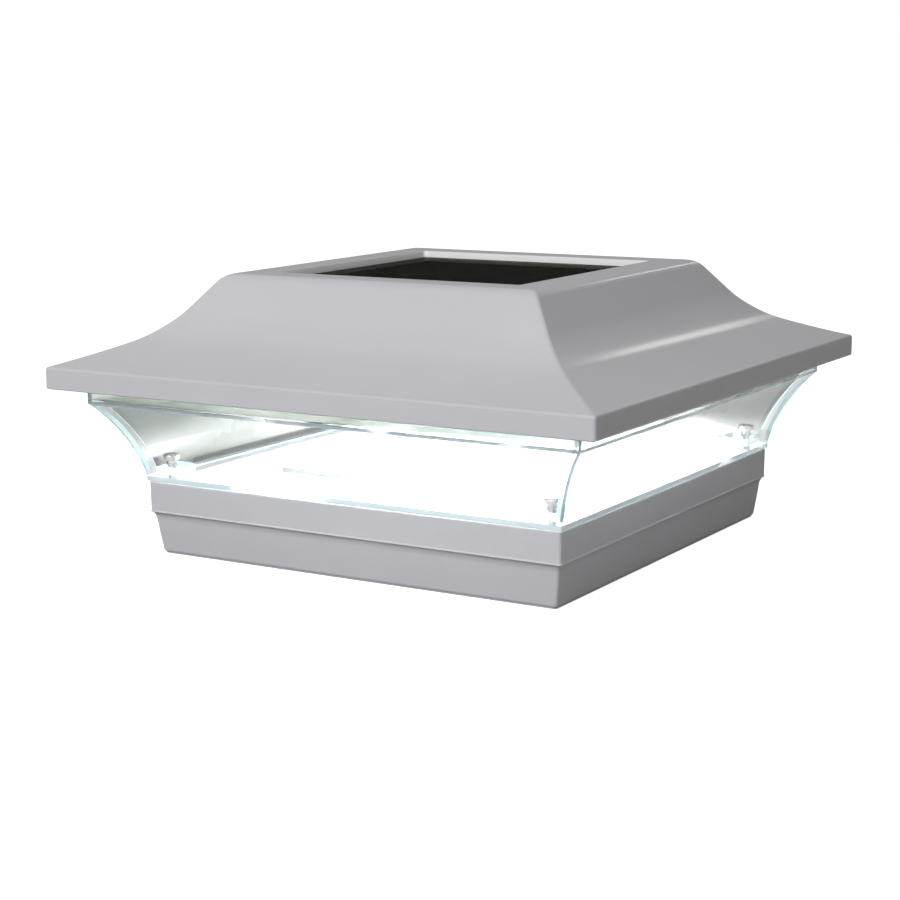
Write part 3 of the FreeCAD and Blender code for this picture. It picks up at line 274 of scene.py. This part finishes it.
reflector_outline = [(0.0, 21.8, 0), (68.25, 21.8, 0.1), (68.25, 22.5, 0.25), (0.0, 22.5, 0)]
reflector = square_turned("reflector", reflector_outline, hip=1.2)
enamel, enamel_wire = finish("white_enamel", IOR=1.5, Coat_Weight=0.4, Coat_Roughness=0.06)
ripple = enamel_wire.noise(120.0, 2.0)
speck = enamel_wire.noise(1400.0, 2.0)
feed(enamel,
     Base_Color=ripple.tint((0.86, 0.875, 0.87), (0.91, 0.915, 0.90)),
     Roughness=0.16 + speck * 0.12,
     Normal=enamel_wire.bump(ripple, 0.0002, 0.15))
fit(reflector, "base", enamel, "reflector_white", "reflector_sheet")


# ---------------------------------------------------------------- lens
# One clear acrylic moulding, screwed to the skirt: a foot, a concave flare, an upright rim that goes up into
# the roof, and a floor flange with a square window. Thick edges are the acrylic's own blue-green, made pale
# with painted light. What light does in the two far walls is painted on as a milky veil of painted light and
# shade, with a dark line of painted shade at the left wall's root; the upright rim is painted bright and the
# window's edge gets painted shade on its left.

RIM_START = (0.0478, 0.0484)    # heights over which the upright rim's painted light begins
ROOT_TOP = (0.0262, 0.0280)     # heights over which the painted dark line at the root ends
ROOT_BACK = (-0.122, -0.108)    # x - y over which it begins, near the back corner
ROOT_FRONT = (-0.060, -0.050)   # y over which it begins, near the front corner
# how much of the rim its painted light covers
RIM_PAINTED_VEIL = 0.55
RIM_PAINTED_LIGHT = 6.0                  # how much brighter the rim's veil is painted, as painted light
CLEAR = (1.0, 1.0, 1.0)
# dark and light tints of the veil painted as light and shade in the far walls
GREY_VEIL = ((0.060, 0.070, 0.062), (0.17, 0.18, 0.16))


def clear_acrylic(name, clear_tint, painted_veil_tints, painted_veil, low, high, where=None):
    """Clear plastic with a milky veil of streaks painted over it as painted light and shade; its gloss is a
    coat, so the walls show no false dark edges.

    The veil's greatest strength comes after its two tints, and the noise between low and high makes its
    streaks. where, if given, turns the streaks into the veil's strength and the brightness of its colour.
    """
    coat = {"Coat_Weight": 0.3, "Coat_IOR": 1.49}
    plastic, wire = finish(name, Transmission_Weight=1.0, IOR=1.01, Roughness=0.0, **coat,
                           Coat_Roughness=0.02, Base_Color=(*clear_tint, 1.0))
    clear = Wire(plastic.node_tree, principled(plastic).outputs[0])
    relief = wire.bump(wire.noise(30.0, 2.0), 0.0006, 0.10)
    strength = (wire.noise(22.0, 4.0, 0.6) * 0.9 + wire.noise(160.0, 2.0) * 0.1).clip(low, high) * painted_veil
    colour = wire.noise(60.0, 3.0).tint(*painted_veil_tints)
    if where:
        strength, level = where(wire, strength)
        colour = wire.node("ShaderNodeVectorMath", {"operation": "SCALE"}, n0=colour, Scale=level)
    veil = wire.node("ShaderNodeBsdfPrincipled", Base_Color=colour, Roughness=0.35, IOR=1.3, **coat,
                     Coat_Roughness=0.05, Normal=relief)
    mixed = wire.node("ShaderNodeMixShader", n0=strength, n1=clear, n2=veil)
    feed(plastic, Normal=relief)
    plastic.node_tree.links.new(mixed.socket, plastic.node_tree.nodes["Material Output"].inputs["Surface"])
    return plastic


def far_sides(wire):
    """1 in the left wall, 1 in the back wall, and x - y, which is lowest in the corner between them."""
    x, y = wire.axis("X"), wire.axis("Y")
    left = x < 0.0 - abs(y)
    back = y > abs(x)
    return left, back, x - y


def root_run(wire):
    """1 along the root of the left wall, where a dark line is painted as shade, 0 at its two ends."""
    x, y = wire.axis("X"), wire.axis("Y")
    return (x - y).clip(*ROOT_BACK) * y.clip(*ROOT_FRONT)


def wall_veil(wire, streaks):
    """Inside of the walls, all painted light and shade: a milky veil in the two far ones, darker on the back
    one, a dark line at the left one's root, and a bright rim.
    """
    left, back, along = far_sides(wire)
    z = wire.axis("Z")
    rim = z.clip(*RIM_START)
    root = left * (1.0 - z.clip(*ROOT_TOP)) * root_run(wire)
    left_wall = left * along.clip(-0.115, -0.020) * (0.50 + streaks * 0.40)
    back_wall = back * along.clip(-0.095, -0.045) * z.clip(0.0260, 0.0340) * (0.72 + streaks * 0.25)
    wall = 0.06 * streaks + left_wall + back_wall
    strength = wall.larger(rim * RIM_PAINTED_VEIL).larger(root * 0.92)
    return strength, 0.85 + rim * RIM_PAINTED_LIGHT - root * 0.74 - back * (1.0 - rim) * 0.62


def outer_veil(wire, streaks):
    """Outside of the walls, painted light: a veil a little less milky on the far ones; the near ones have
    the painted bright rim only.
    """
    left, back, along = far_sides(wire)
    far = left + back
    rim = wire.axis("Z").clip(*RIM_START)
    wall = far * (1.0 - rim) * along.clip(-0.080, -0.030) * (0.50 + streaks * 0.25)
    return wall + (1.0 - far) * rim * RIM_PAINTED_VEIL, 1.0 + rim * RIM_PAINTED_LIGHT


def floor_veil(wire, streaks):
    """Nearly clear, with a line of painted shade along the root of the left wall."""
    root = (0.0 - wire.axis("X")).clip(0.0645, 0.0672) * root_run(wire)
    return streaks.larger(root * 0.9), 1.0 - root * 0.96


def window_veil(wire, streaks):
    """The window's edge is painted with shade, dark on the left and clearing towards the right."""
    return streaks * (1.0 - wire.axis("X").clip(-0.012, 0.012)), 1.0


acrylic = clear_acrylic("clear_acrylic", CLEAR, GREY_VEIL, painted_veil=1.0, low=0.28, high=0.68, where=wall_veil)
acrylic_outer = clear_acrylic("acrylic_outer", CLEAR, GREY_VEIL, painted_veil=1.0, low=0.28, high=0.68,
                              where=outer_veil)
acrylic_floor = clear_acrylic("acrylic_floor", CLEAR, ((0.40, 0.44, 0.42), (0.60, 0.62, 0.58)),
                              painted_veil=0.10, low=0.40, high=0.75, where=floor_veil)
# Painted light: the hips, the foot, the ledge and the pads' sides are the acrylic's own blue-green made pale
# by a painted veil, standing in for the light the thick plastic carries along its edges.
acrylic_edge = clear_acrylic("acrylic_edge", (0.45, 0.68, 0.73), ((0.26, 0.46, 0.51), (0.60, 0.78, 0.82)),
                             painted_veil=0.85, low=0.10, high=0.45)
acrylic_pale = clear_acrylic("acrylic_pale", (0.76, 0.92, 0.94), ((0.56, 0.74, 0.78), (0.88, 0.96, 0.97)),
                             painted_veil=0.97, low=0.33, high=0.50)
# Painted light: the tints of the corner plates.
acrylic_corner = clear_acrylic("acrylic_corner", (0.60, 0.82, 0.86),
                               ((0.18, 0.28, 0.31), (0.52, 0.66, 0.70)), painted_veil=0.95, low=0.25, high=0.60)
# Painted shade: the window edge's dark veil, strongest on its left.
acrylic_rim = clear_acrylic("acrylic_rim", (0.86, 0.89, 0.88), ((0.10, 0.12, 0.12), (0.20, 0.23, 0.23)),
                            painted_veil=0.95, low=0.02, high=0.25, where=window_veil)

lens_outline = [
    (41.9, 22.65, 0.15), (71.2, 22.65, 0.25), (71.2, 24.2, 0), (73.57, 37.43, 13.8),    # foot, flare
    (82.6, 46.6, 0), (83.0, 47.0, 0), (83.0, 47.8, 0),                                  # ledge
    (83.0, 57.0, 0.3), (80.6, 57.0, 0.3), (80.6, 47.9, 0),                              # rim
    (71.35, 38.5, 12.9), (69.05, 26.2, 0), (68.85, 24.8, 0.3),                          # inside
    (41.9, 24.8, 0.35),                                                                 # window's edge
]
lens_shell = square_turned("lens_shell", lens_outline, hip=0.7)
fit(lens_shell, "base", acrylic, "clear_acrylic", "lens")
lens_shell.visible_shadow = False
for other in (acrylic_edge, acrylic_pale, acrylic_floor, acrylic_rim, acrylic_outer):
    lens_shell.data.materials.append(other)

# Which face gets which of them goes by place: half widths and heights just past the outline's own.
HIP, FOOT, FLOOR, WINDOW, OUTSIDE = range(1, 6)
WINDOW_HALF, FLOOR_HALF, FOOT_HALF, LEDGE_HALF = 0.0421, 0.0688, 0.0705, 0.0824
FOOT_TOP, FLOOR_TOP = 0.0244, 0.0250
LEDGE_FROM, LEDGE_TO = 0.0466, 0.0480

for face in lens_shell.data.polygons:
    centre, normal = face.center, face.normal
    half = max(abs(centre.x), abs(centre.y))
    on_foot = half > FOOT_HALF and centre.z < FOOT_TOP
    on_ledge = half > LEDGE_HALF and LEDGE_FROM < centre.z < LEDGE_TO
    if min(abs(normal.x), abs(normal.y)) > 0.03 and centre.z > FLOOR_TOP:
        face.material_index = HIP
    elif on_foot or on_ledge:
        face.material_index = FOOT
    elif half < WINDOW_HALF:
        face.material_index = WINDOW
    elif half < FLOOR_HALF and centre.z < FLOOR_TOP:
        face.material_index = FLOOR
    elif centre.x * normal.x + centre.y * normal.y > 0:
        face.material_index = OUTSIDE

# The light that the thick corners catch is painted on: a thin blue-green plate of painted light stands
# inside each, close under the outer hip.
# Its section is the wall's own near the corner, in (half width, height), with the two long curves rounded.
PLATE_THICKNESS = 0.0001
plate_outline = [
    (71.0, 25.0), (73.3, 37.4), (82.2, 46.5), (82.7, 47.1), (82.7, 56.8),
    (81.9, 56.8), (81.9, 47.5), (72.55, 37.9), (70.2, 26.0), (70.1, 25.0),
]
plates = bmesh.new()
for quarter in range(4):
    to_corner = Matrix.Diagonal((math.sqrt(2), 1, 1, 1))
    turn = Matrix.Rotation(math.radians(45 + 90 * quarter), 4, "Z") @ to_corner
    points = [plates.verts.new(turn @ Vector((half / 1000, -PLATE_THICKNESS / 2, z / 1000)))
              for half, z in plate_outline]
    plates.faces.new(points)
    for point, run in ((points[1], 0.0138), (points[7], 0.0129)):
        round_points(plates, [point], run * 0.9, 16)
for side in plates.faces[:]:
    pushed = bmesh.ops.extrude_face_region(plates, geom=[side], use_keep_orig=True)
    moved = [v for v in pushed["geom"] if isinstance(v, bmesh.types.BMVert)]
    bmesh.ops.translate(plates, vec=side.normal * PLATE_THICKNESS, verts=moved)
lens_corners = shaped(plates, "lens_corners")
fit(lens_corners, "base", acrylic_corner, "clear_acrylic")
lens_corners.visible_shadow = False

# Each screw goes through a round pad on the lens floor, cut off where it meets the two walls.
PAD_PLACE = 0.0655
PAD_RADIUS = 0.007
PAD_HEIGHT = 0.0022
PAD_MIDDLE_Z = 0.0259
INNER_WALL = 0.0689             # half width inside the lens walls at their foot
PAD_EDGE = 0.0003

for side_x, hand in ((-1, "left"), (1, "right")):
    for side_y, end in ((-1, "front"), (1, "back")):
        pad = bmesh.new()
        bmesh.ops.create_cone(pad, cap_ends=True, segments=48, radius1=PAD_RADIUS, radius2=PAD_RADIUS,
                              depth=PAD_HEIGHT)
        middle = (side_x * PAD_PLACE, side_y * PAD_PLACE, PAD_MIDDLE_Z)
        bmesh.ops.translate(pad, vec=middle, verts=pad.verts[:])
        for wall in ((side_x, 0, 0), (0, side_y, 0)):
            everything = pad.verts[:] + pad.edges[:] + pad.faces[:]
            cut = bmesh.ops.bisect_plane(pad, geom=everything, plane_co=Vector(wall) * INNER_WALL,
                                         plane_no=wall, clear_outer=True)
            open_edges = [e for e in cut["geom_cut"] if isinstance(e, bmesh.types.BMEdge)]
            bmesh.ops.edgenet_fill(pad, edges=open_edges)
        near_top = PAD_MIDDLE_Z + PAD_HEIGHT / 2 - 0.0001
        top_edges = [e for e in pad.edges if all(v.co.z > near_top for v in e.verts)]
        bmesh.ops.bevel(pad, geom=top_edges, offset=PAD_EDGE, segments=3, profile=0.5, affect="EDGES",
                        material=-1)
        screw_pad = shaped(pad, f"screw_pad_{hand}_{end}")
        fit(screw_pad, "base", acrylic_floor, "clear_acrylic")
        screw_pad.visible_shadow = False
        screw_pad.data.materials.append(acrylic_pale)
        for face in screw_pad.data.polygons:
            face.material_index = int(abs(face.normal.z) < 0.9)


# ---------------------------------------------------------------- lens screws
# Four small pan head screws with a cross recess, bright zinc plated, one in each corner of the lens floor.
# They go through the lens and the reflector into the skirt.

zinc, zinc_wire = finish("bright_zinc", Metallic=1.0, Anisotropic=0.3)
plating = zinc_wire.noise(700.0, 4.0)
feed(zinc,
     Base_Color=plating.tint((0.26, 0.27, 0.28), (0.54, 0.54, 0.52)),
     Roughness=0.18 + plating * 0.2,
     Normal=zinc_wire.bump(plating, 0.00003, 0.4))


def dress(names, material):
    """A CAD node whose shape is right keeps it and gets the material in all its slots."""
    for name in names:
        data = nodes[name].data
        data.materials.clear()
        data.materials.append(material)
        for polygon in data.polygons:
            polygon.material_index = 0


dress(["lens_screws", "housing_screws", "lamp_screws", "board_screws", "hinge_pin"], zinc)


# ---------------------------------------------------------------- roof
# Cast aluminium with an ogee slope between an upright fascia and a flat crown, coated like the skirt. The
# crown is open over the panel pocket, whose wall is painted paler as painted light. Under the eave two ribs
# take in the lens rim.

OPENING_HALF = 0.0421           # just outside the wall of the crown's opening
OPENING_FROM, OPENING_TO = 0.0826, 0.0845

roof_outline = [
    (0.0, 79.0, 0), (41.2, 79.0, 0.2), (41.2, 82.6, 0),                                 # opening
    (42.0, 84.6, 0.3), (51.0, 84.6, 0.3),                                               # crown
    (53.42, 84.34, 2.35), (66.12, 68.36, 7.55), (81.83, 61.37, 9.5),                    # ogee slope
    (91.5, 58.42, 0.7), (91.5, 51.9, 0.4), (89.3, 51.9, 0.3), (89.3, 56.8, 0.6),        # fascia
    (85.0, 58.1, 0.3), (85.0, 54.4, 0.3), (83.4, 54.4, 0.3), (83.4, 58.0, 0.1),         # outer rib
    (80.2, 58.0, 0.1), (80.2, 53.0, 0.3), (78.6, 53.0, 0.3), (78.6, 60.4, 0.3),         # inner rib
    (65.2, 66.2, 5.0), (52.6, 82.2, 1.0), (43.2, 82.4, 0.2), (43.2, 79.0, 0.2),         # underside
    (46.0, 79.0, 0.2), (46.0, 77.0, 0.2), (0.0, 77.0, 0),                               # pocket floor
]
roof = square_turned("roof", roof_outline, hip=1.0, steps=5)
fit(roof, "cap", cast_paint, "powder_coat", "roof_shell")
# The pocket's wall gets the same paint in a paler tone: painted light for the light it catches.
roof.data.materials.append(powder_coat("pocket_wall_painted_light", (0.86, 0.86, 0.85)))
for face in roof.data.polygons:
    middle = face.center
    within = max(abs(middle.x), abs(middle.y)) < OPENING_HALF
    if within and OPENING_FROM < middle.z < OPENING_TO and abs(face.normal.z) < 0.9:
        face.material_index = 1


# ---------------------------------------------------------------- solar panel
# Eight dark cells on a black board under a smoked clear sheet, bedded on a gasket in the crown's pocket.
# The cells have fine silver fingers and, square to them, wider bars.

FINGER_PITCH, FINGER_WIDTH = 0.0016, 0.00012
BAR_PITCH, BAR_WIDTH = 0.0066, 0.0004

laminate, laminate_wire = finish("black_laminate", Specular_IOR_Level=0.0)
weave = laminate_wire.noise(900.0, 2.0)
feed(laminate,
     Base_Color=weave.tint((0.010, 0.010, 0.011), (0.020, 0.020, 0.021)),
     Roughness=0.45 + weave * 0.2)
dress(["panel_backboard"], laminate)

silicon, silicon_wire = finish("solar_silicon", Specular_IOR_Level=0.0)
fingers = ((silicon_wire.axis("X") + 1.0) % FINGER_PITCH) < FINGER_WIDTH
bars = ((silicon_wire.axis("Y") + 0.9999) % BAR_PITCH) < BAR_WIDTH
grain = silicon_wire.noise(260.0, 3.0)
crystal = grain.tint((0.006, 0.006, 0.008), (0.016, 0.015, 0.016))
feed(silicon,
     Base_Color=(fingers.larger(bars) * 0.6).tint(crystal, (0.16, 0.16, 0.15)),
     Roughness=0.42 + grain * 0.2)
dress(["solar_cells"], silicon)

cover, cover_wire = finish("panel_cover", IOR=1.0, Transmission_Weight=0.94, Coat_Roughness=0.2)
cover_grain = cover_wire.noise(1500.0, 3.0)
feed(cover,
     Base_Color=cover_grain.tint((0.16, 0.16, 0.145), (0.30, 0.30, 0.27)),
     Roughness=0.06 + cover_grain * 0.10,
     Coat_Weight=(0.9 - cover_wire.grazing()).larger(0.0),
     Normal=cover_wire.bump(cover_grain, 0.00008, 0.6))
panel_outline = [(0.0, 81.41, 0), (40.7, 81.41, 0.1), (40.7, 82.6, 0.3), (0.0, 82.6, 0)]
panel_cover = square_turned("panel_cover", panel_outline, hip=0.8)
fit(panel_cover, "cap", cover, "panel_glass", "panel_glass")

rubber, rubber_wire = finish("black_rubber", IOR=1.45)
skin = rubber_wire.noise(1200.0, 4.0)
feed(rubber,
     Base_Color=skin.tint((0.018, 0.018, 0.018), (0.04, 0.04, 0.04)),
     Roughness=0.6 + skin * 0.25,
     Normal=rubber_wire.bump(skin, 0.0001, 0.5))
dress(["panel_gasket", "lens_seal", "cable_grommet"], rubber)


# ---------------------------------------------------------------- electronics housing
# A white moulded tray that screws up under the roof, with the battery bay, the hinged battery door, the
# lamp's opening and the switch slot in its floor. Fine spark-erosion texture.

def moulding(name, dark, light, rough):
    plastic, wire = finish(name, IOR=1.47)
    spark = wire.noise(1300.0, 3.0)
    drift = wire.noise(30.0, 2.0)
    rub = wire.edge(0.0004).clip(0.03, 0.3)
    feed(plastic,
         Base_Color=(drift * 0.7 + rub * 0.3).tint(dark, light),
         Roughness=rough + spark * 0.15 - rub * 0.08,
         Normal=wire.bump(spark, 0.00006, 0.5))
    return plastic


housing_plastic = moulding("housing_plastic", (0.74, 0.74, 0.73), (0.82, 0.82, 0.81), 0.42)
dress(["electronics_housing", "battery_door"], housing_plastic)
dress(["switch_knob"], moulding("switch_nylon", (0.015, 0.015, 0.016), (0.03, 0.03, 0.03), 0.35))
dress(["driver_chip"], moulding("chip_epoxy", (0.012, 0.012, 0.013), (0.022, 0.022, 0.022), 0.5))


def plated(name, dark, light, rough):
    sheet_metal, wire = finish(name, Metallic=1.0)
    draw = wire.noise(500.0, 4.0)
    feed(sheet_metal,
         Base_Color=draw.tint(dark, light),
         Roughness=rough + draw * 0.2,
         Normal=wire.bump(draw, 0.00003, 0.4))
    return sheet_metal


nickel_plate = plated("nickel_plate", (0.62, 0.60, 0.55), (0.78, 0.77, 0.72), 0.2)
dress(["contact_plates", "contact_springs"], nickel_plate)
drawn_can = plated("drawn_can", (0.60, 0.61, 0.62), (0.74, 0.74, 0.75), 0.28)
dress(["capacitor", "switch_body"], drawn_can)

WIRE_PITCH = 0.0003             # of the coil's winding
winding, winding_wire = finish("copper_winding", Metallic=1.0)
turns = ((winding_wire.axis("Z") + 1.0) % WIRE_PITCH).clip(0.0, WIRE_PITCH)
feed(winding,
     Base_Color=turns.tint((0.30, 0.11, 0.04), (0.72, 0.34, 0.16)),
     Roughness=0.3 + turns * 0.1,
     Normal=winding_wire.bump(turns, 0.0001, 0.8))
dress(["coil"], winding)


# ---------------------------------------------------------------- batteries
# Two AA cells side by side, head to tail, in shrink wrap with no print on it: a green body, a pale band at
# the plus end and a bare steel rim.

BETWEEN_CELLS_Y = 0.0273
BAND_START = 0.0175             # from the bay's middle towards the plus end
STEEL_START = 0.0255

wrap, wrap_wire = finish("battery_wrap", IOR=1.5, Coat_Weight=0.3)
along_bay = wrap_wire.axis("X")
front_cell = wrap_wire.axis("Y") < BETWEEN_CELLS_Y
to_plus = front_cell * along_bay + (1.0 - front_cell) * (0.0 - along_bay)
steel_end = to_plus > STEEL_START
smudge = wrap_wire.noise(90.0, 3.0)
green = smudge.tint((0.03, 0.15, 0.07), (0.05, 0.20, 0.10))
banded = (to_plus > BAND_START).tint(green, (0.55, 0.56, 0.52))
feed(wrap,
     Base_Color=steel_end.tint(banded, (0.66, 0.66, 0.65)),
     Metallic=steel_end,
     Roughness=0.3 + smudge * 0.15)
dress(["batteries"], wrap)


# ---------------------------------------------------------------- boards and leads
# Fibreglass boards: green solder mask with fine copper tracks on the control board, white on the lamp
# board. The leads are stranded wire in red and black insulation, soldered at both ends.

def solder_mask(name, dark, light, track):
    mask, wire = finish(name, IOR=1.5)
    fibre = wire.noise(1400.0, 2.0)
    lane_x = ((wire.axis("X") + 1.0) % 0.0023) < 0.0005
    lane_y = ((wire.axis("Y") + 1.0) % 0.0041) < 0.0006
    tracks = (lane_x * (wire.noise(90.0, 0.0) > 0.52)).larger(lane_y * (wire.noise(70.0, 0.0) > 0.55))
    feed(mask,
         Base_Color=(tracks * 0.6).tint(fibre.tint(dark, light), track),
         Roughness=0.25 + fibre * 0.15,
         Normal=wire.bump(tracks, 0.00004, 0.6))
    return mask


green_mask = solder_mask("green_mask", (0.02, 0.13, 0.05), (0.03, 0.18, 0.08), (0.06, 0.30, 0.12))
dress(["control_board"], green_mask)
white_mask = solder_mask("white_mask", (0.72, 0.72, 0.71), (0.80, 0.80, 0.79), (0.62, 0.63, 0.60))
dress(["lamp_board"], white_mask)

# One lead of each pair is black. They are told apart by their place: a band of x each at the panel and at
# the lamp, and the lower of the two at the batteries.
insulation, insulation_wire = finish("lead_insulation", IOR=1.5)
lead_x = insulation_wire.axis("X")
sheen = insulation_wire.noise(800.0, 3.0)
black_panel_lead = lead_x.between(-0.0160, -0.0132)
black_lamp_lead = lead_x.between(-0.0020, 0.0014)
black_battery_lead = (lead_x < -0.018) * (insulation_wire.axis("Z") < 0.0718)
black_lead = black_panel_lead.larger(black_lamp_lead).larger(black_battery_lead)
red = sheen.tint((0.35, 0.02, 0.02), (0.48, 0.03, 0.03))
feed(insulation,
     Base_Color=black_lead.tint(red, (0.02, 0.02, 0.02)),
     Roughness=0.4 + sheen * 0.2,
     Normal=insulation_wire.bump(sheen, 0.00005, 0.4))
dress(["panel_leads", "battery_leads", "lamp_leads"], insulation)


# ---------------------------------------------------------------- lamp
# Four white chips on the lamp board behind a milky square cover, pointing straight down. It is lit, so the
# cover and the chips glow, and a small lamp under the cover throws the light.

milky, milky_wire = finish("milky_cover", IOR=1.49, Emission_Strength=6.0)
cloud = milky_wire.noise(200.0, 2.0)
feed(milky,
     Base_Color=cloud.tint((0.90, 0.90, 0.89), (0.96, 0.96, 0.95)),
     Emission_Color=cloud.tint((0.93, 0.97, 1.0), (0.97, 1.0, 1.0)),
     Roughness=0.35 + cloud * 0.1)
dress(["lamp_cover"], milky)

phosphor, phosphor_wire = finish("chip_phosphor", IOR=1.5, Emission_Strength=12.0)
spot = phosphor_wire.noise(900.0, 2.0)
feed(phosphor,
     Base_Color=spot.tint((0.85, 0.80, 0.50), (0.92, 0.88, 0.62)),
     Emission_Color=spot.tint((0.95, 0.97, 1.0), (1.0, 1.0, 0.97)),
     Roughness=0.4 + spot * 0.1)
dress(["lamp_chips"], phosphor)

lamp_data = bpy.data.lights.new("lamp_beam", "AREA")
lamp_data.shape = "SQUARE"
lamp_data.size = 0.05
lamp_data.energy = 0.6
lamp_data.color = (0.95, 0.98, 1.0)
lamp_beam = bpy.data.objects.new("lamp_beam", lamp_data)
lamp_beam.location = (0.0, 0.0, 0.0583)         # just under the cover
scene.collection.objects.link(lamp_beam)
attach(lamp_beam, "cap")


# ---------------------------------------------------------------- studio
# A floor in an even room. Seen directly, in gloss or through glass they are white; other light meets a
# darker floor and a dim room, and from below the floor is clear. A wide soft light stands at the front left,
# a weak warm one at the right, and a narrow strip at the back draws the streaks along the roof's right side.

STUDIO_HALF = 60.0
FLOOR_DROP = 0.0001             # keeps the floor off the foot

floor_mesh = bmesh.new()
bmesh.ops.create_grid(floor_mesh, x_segments=1, y_segments=1, size=STUDIO_HALF)
bmesh.ops.translate(floor_mesh, vec=(0.0, 0.0, -FLOOR_DROP), verts=floor_mesh.verts[:])
floor_data = bpy.data.meshes.new("studio_floor")
floor_mesh.to_mesh(floor_data)
floor_mesh.free()
studio_floor = bpy.data.objects.new("studio_floor", floor_data)
scene.collection.objects.link(studio_floor)


def bare_tree(block):
    """The block's shader tree, emptied, as a maker of nodes."""
    block.use_nodes = True
    block.node_tree.nodes.clear()
    return Wire(block.node_tree)


def show(wire, output, shader):
    wire.tree.links.new(shader.socket, wire.tree.nodes.new(output).inputs["Surface"])


def white_where_seen(wire):
    """1 for the rays of the camera and those that come off gloss or through glass."""
    camera_ray = wire.node("ShaderNodeLightPath", pick="Is Camera Ray")
    gloss_ray = wire.node("ShaderNodeLightPath", pick="Is Glossy Ray")
    glass_ray = wire.node("ShaderNodeLightPath", pick="Is Transmission Ray")
    return camera_ray.larger(gloss_ray).larger(glass_ray)


floor_paint = bpy.data.materials.new("studio_floor")
floor_wire = bare_tree(floor_paint)
plain = floor_wire.node("ShaderNodeBsdfDiffuse", Color=(0.25, 0.25, 0.255, 1.0))
shade = floor_wire.node("ShaderNodeBsdfDiffuse", Color=(0.90, 0.90, 0.90, 1.0))
glow = floor_wire.node("ShaderNodeEmission", Color=(1.0, 1.0, 1.0, 1.0), Strength=0.90)
bright = floor_wire.node("ShaderNodeAddShader", n0=shade, n1=glow)
from_above = floor_wire.node("ShaderNodeMixShader", n0=white_where_seen(floor_wire), n1=plain, n2=bright)
from_below = floor_wire.node("ShaderNodeNewGeometry", pick="Backfacing")
clear_floor = floor_wire.node("ShaderNodeBsdfTransparent")
floor_shader = floor_wire.node("ShaderNodeMixShader", n0=from_below, n1=from_above, n2=clear_floor)
show(floor_wire, "ShaderNodeOutputMaterial", floor_shader)
floor_data.materials.append(floor_paint)

world = bpy.data.worlds.new("studio")
scene.world = world
world_wire = bare_tree(world)
room = world_wire.node("ShaderNodeBackground", Color=(1.0, 0.98, 0.96, 1.0), Strength=0.13)
white = world_wire.node("ShaderNodeBackground", Color=(1.0, 1.0, 1.0, 1.0), Strength=1.0)
world_shader = world_wire.node("ShaderNodeMixShader", n0=white_where_seen(world_wire), n1=room, n2=white)
show(world_wire, "ShaderNodeOutputWorld", world_shader)


def soft_light(name, place, aim, width, height, power, colour):
    data = bpy.data.lights.new(name, "AREA")
    data.shape = "RECTANGLE"
    data.size = width
    data.size_y = height
    data.energy = power
    data.color = colour
    light = bpy.data.objects.new(name, data)
    light.location = place
    light.rotation_euler = (Vector(aim) - Vector(place)).to_track_quat("-Z", "Y").to_euler()
    light.visible_camera = False
    scene.collection.objects.link(light)


soft_light("front_left_light", place=(-0.10, -1.25, 0.95), aim=(0.0, 0.0, 0.05),
           width=0.9, height=0.7, power=18.3, colour=(0.985, 0.985, 1.0))
soft_light("right_light", place=(1.30, -0.55, 0.95), aim=(0.0, 0.0, 0.05),
           width=0.6, height=0.6, power=2.4, colour=(1.0, 0.96, 0.90))
soft_light("back_strip", place=(-0.08, 1.28, 0.66), aim=(0.03, 0.0, 0.07),
           width=0.09, height=0.16, power=0.35, colour=(1.0, 0.98, 0.95))


# ---------------------------------------------------------------- camera
# The photograph is taken from a little above the eave, looking at the corner between the front and the
# right side, with a long lens. Place, turn and focal length come from three corners of the photo.

camera_data = bpy.data.cameras.new("photo_camera")
camera_data.sensor_width = 36.0
camera_data.lens = 80.309
camera_data.clip_start = 0.01
camera = bpy.data.objects.new("photo_camera", camera_data)
scene.collection.objects.link(camera)
right = Vector((0.85441004, 0.51954459, -0.00754334))
up = Vector((-0.08863288, 0.16003412, 0.98312425))
back = Vector((0.51198408, -0.83932264, 0.1827835))
place = Vector((0.317555, -0.531790, 0.142090))
camera.matrix_world = Matrix((
    (right.x, up.x, back.x, place.x),
    (right.y, up.y, back.y, place.y),
    (right.z, up.z, back.z, place.z),
    (0, 0, 0, 1),
))
scene.camera = camera
scene.view_settings.view_transform = "Standard"
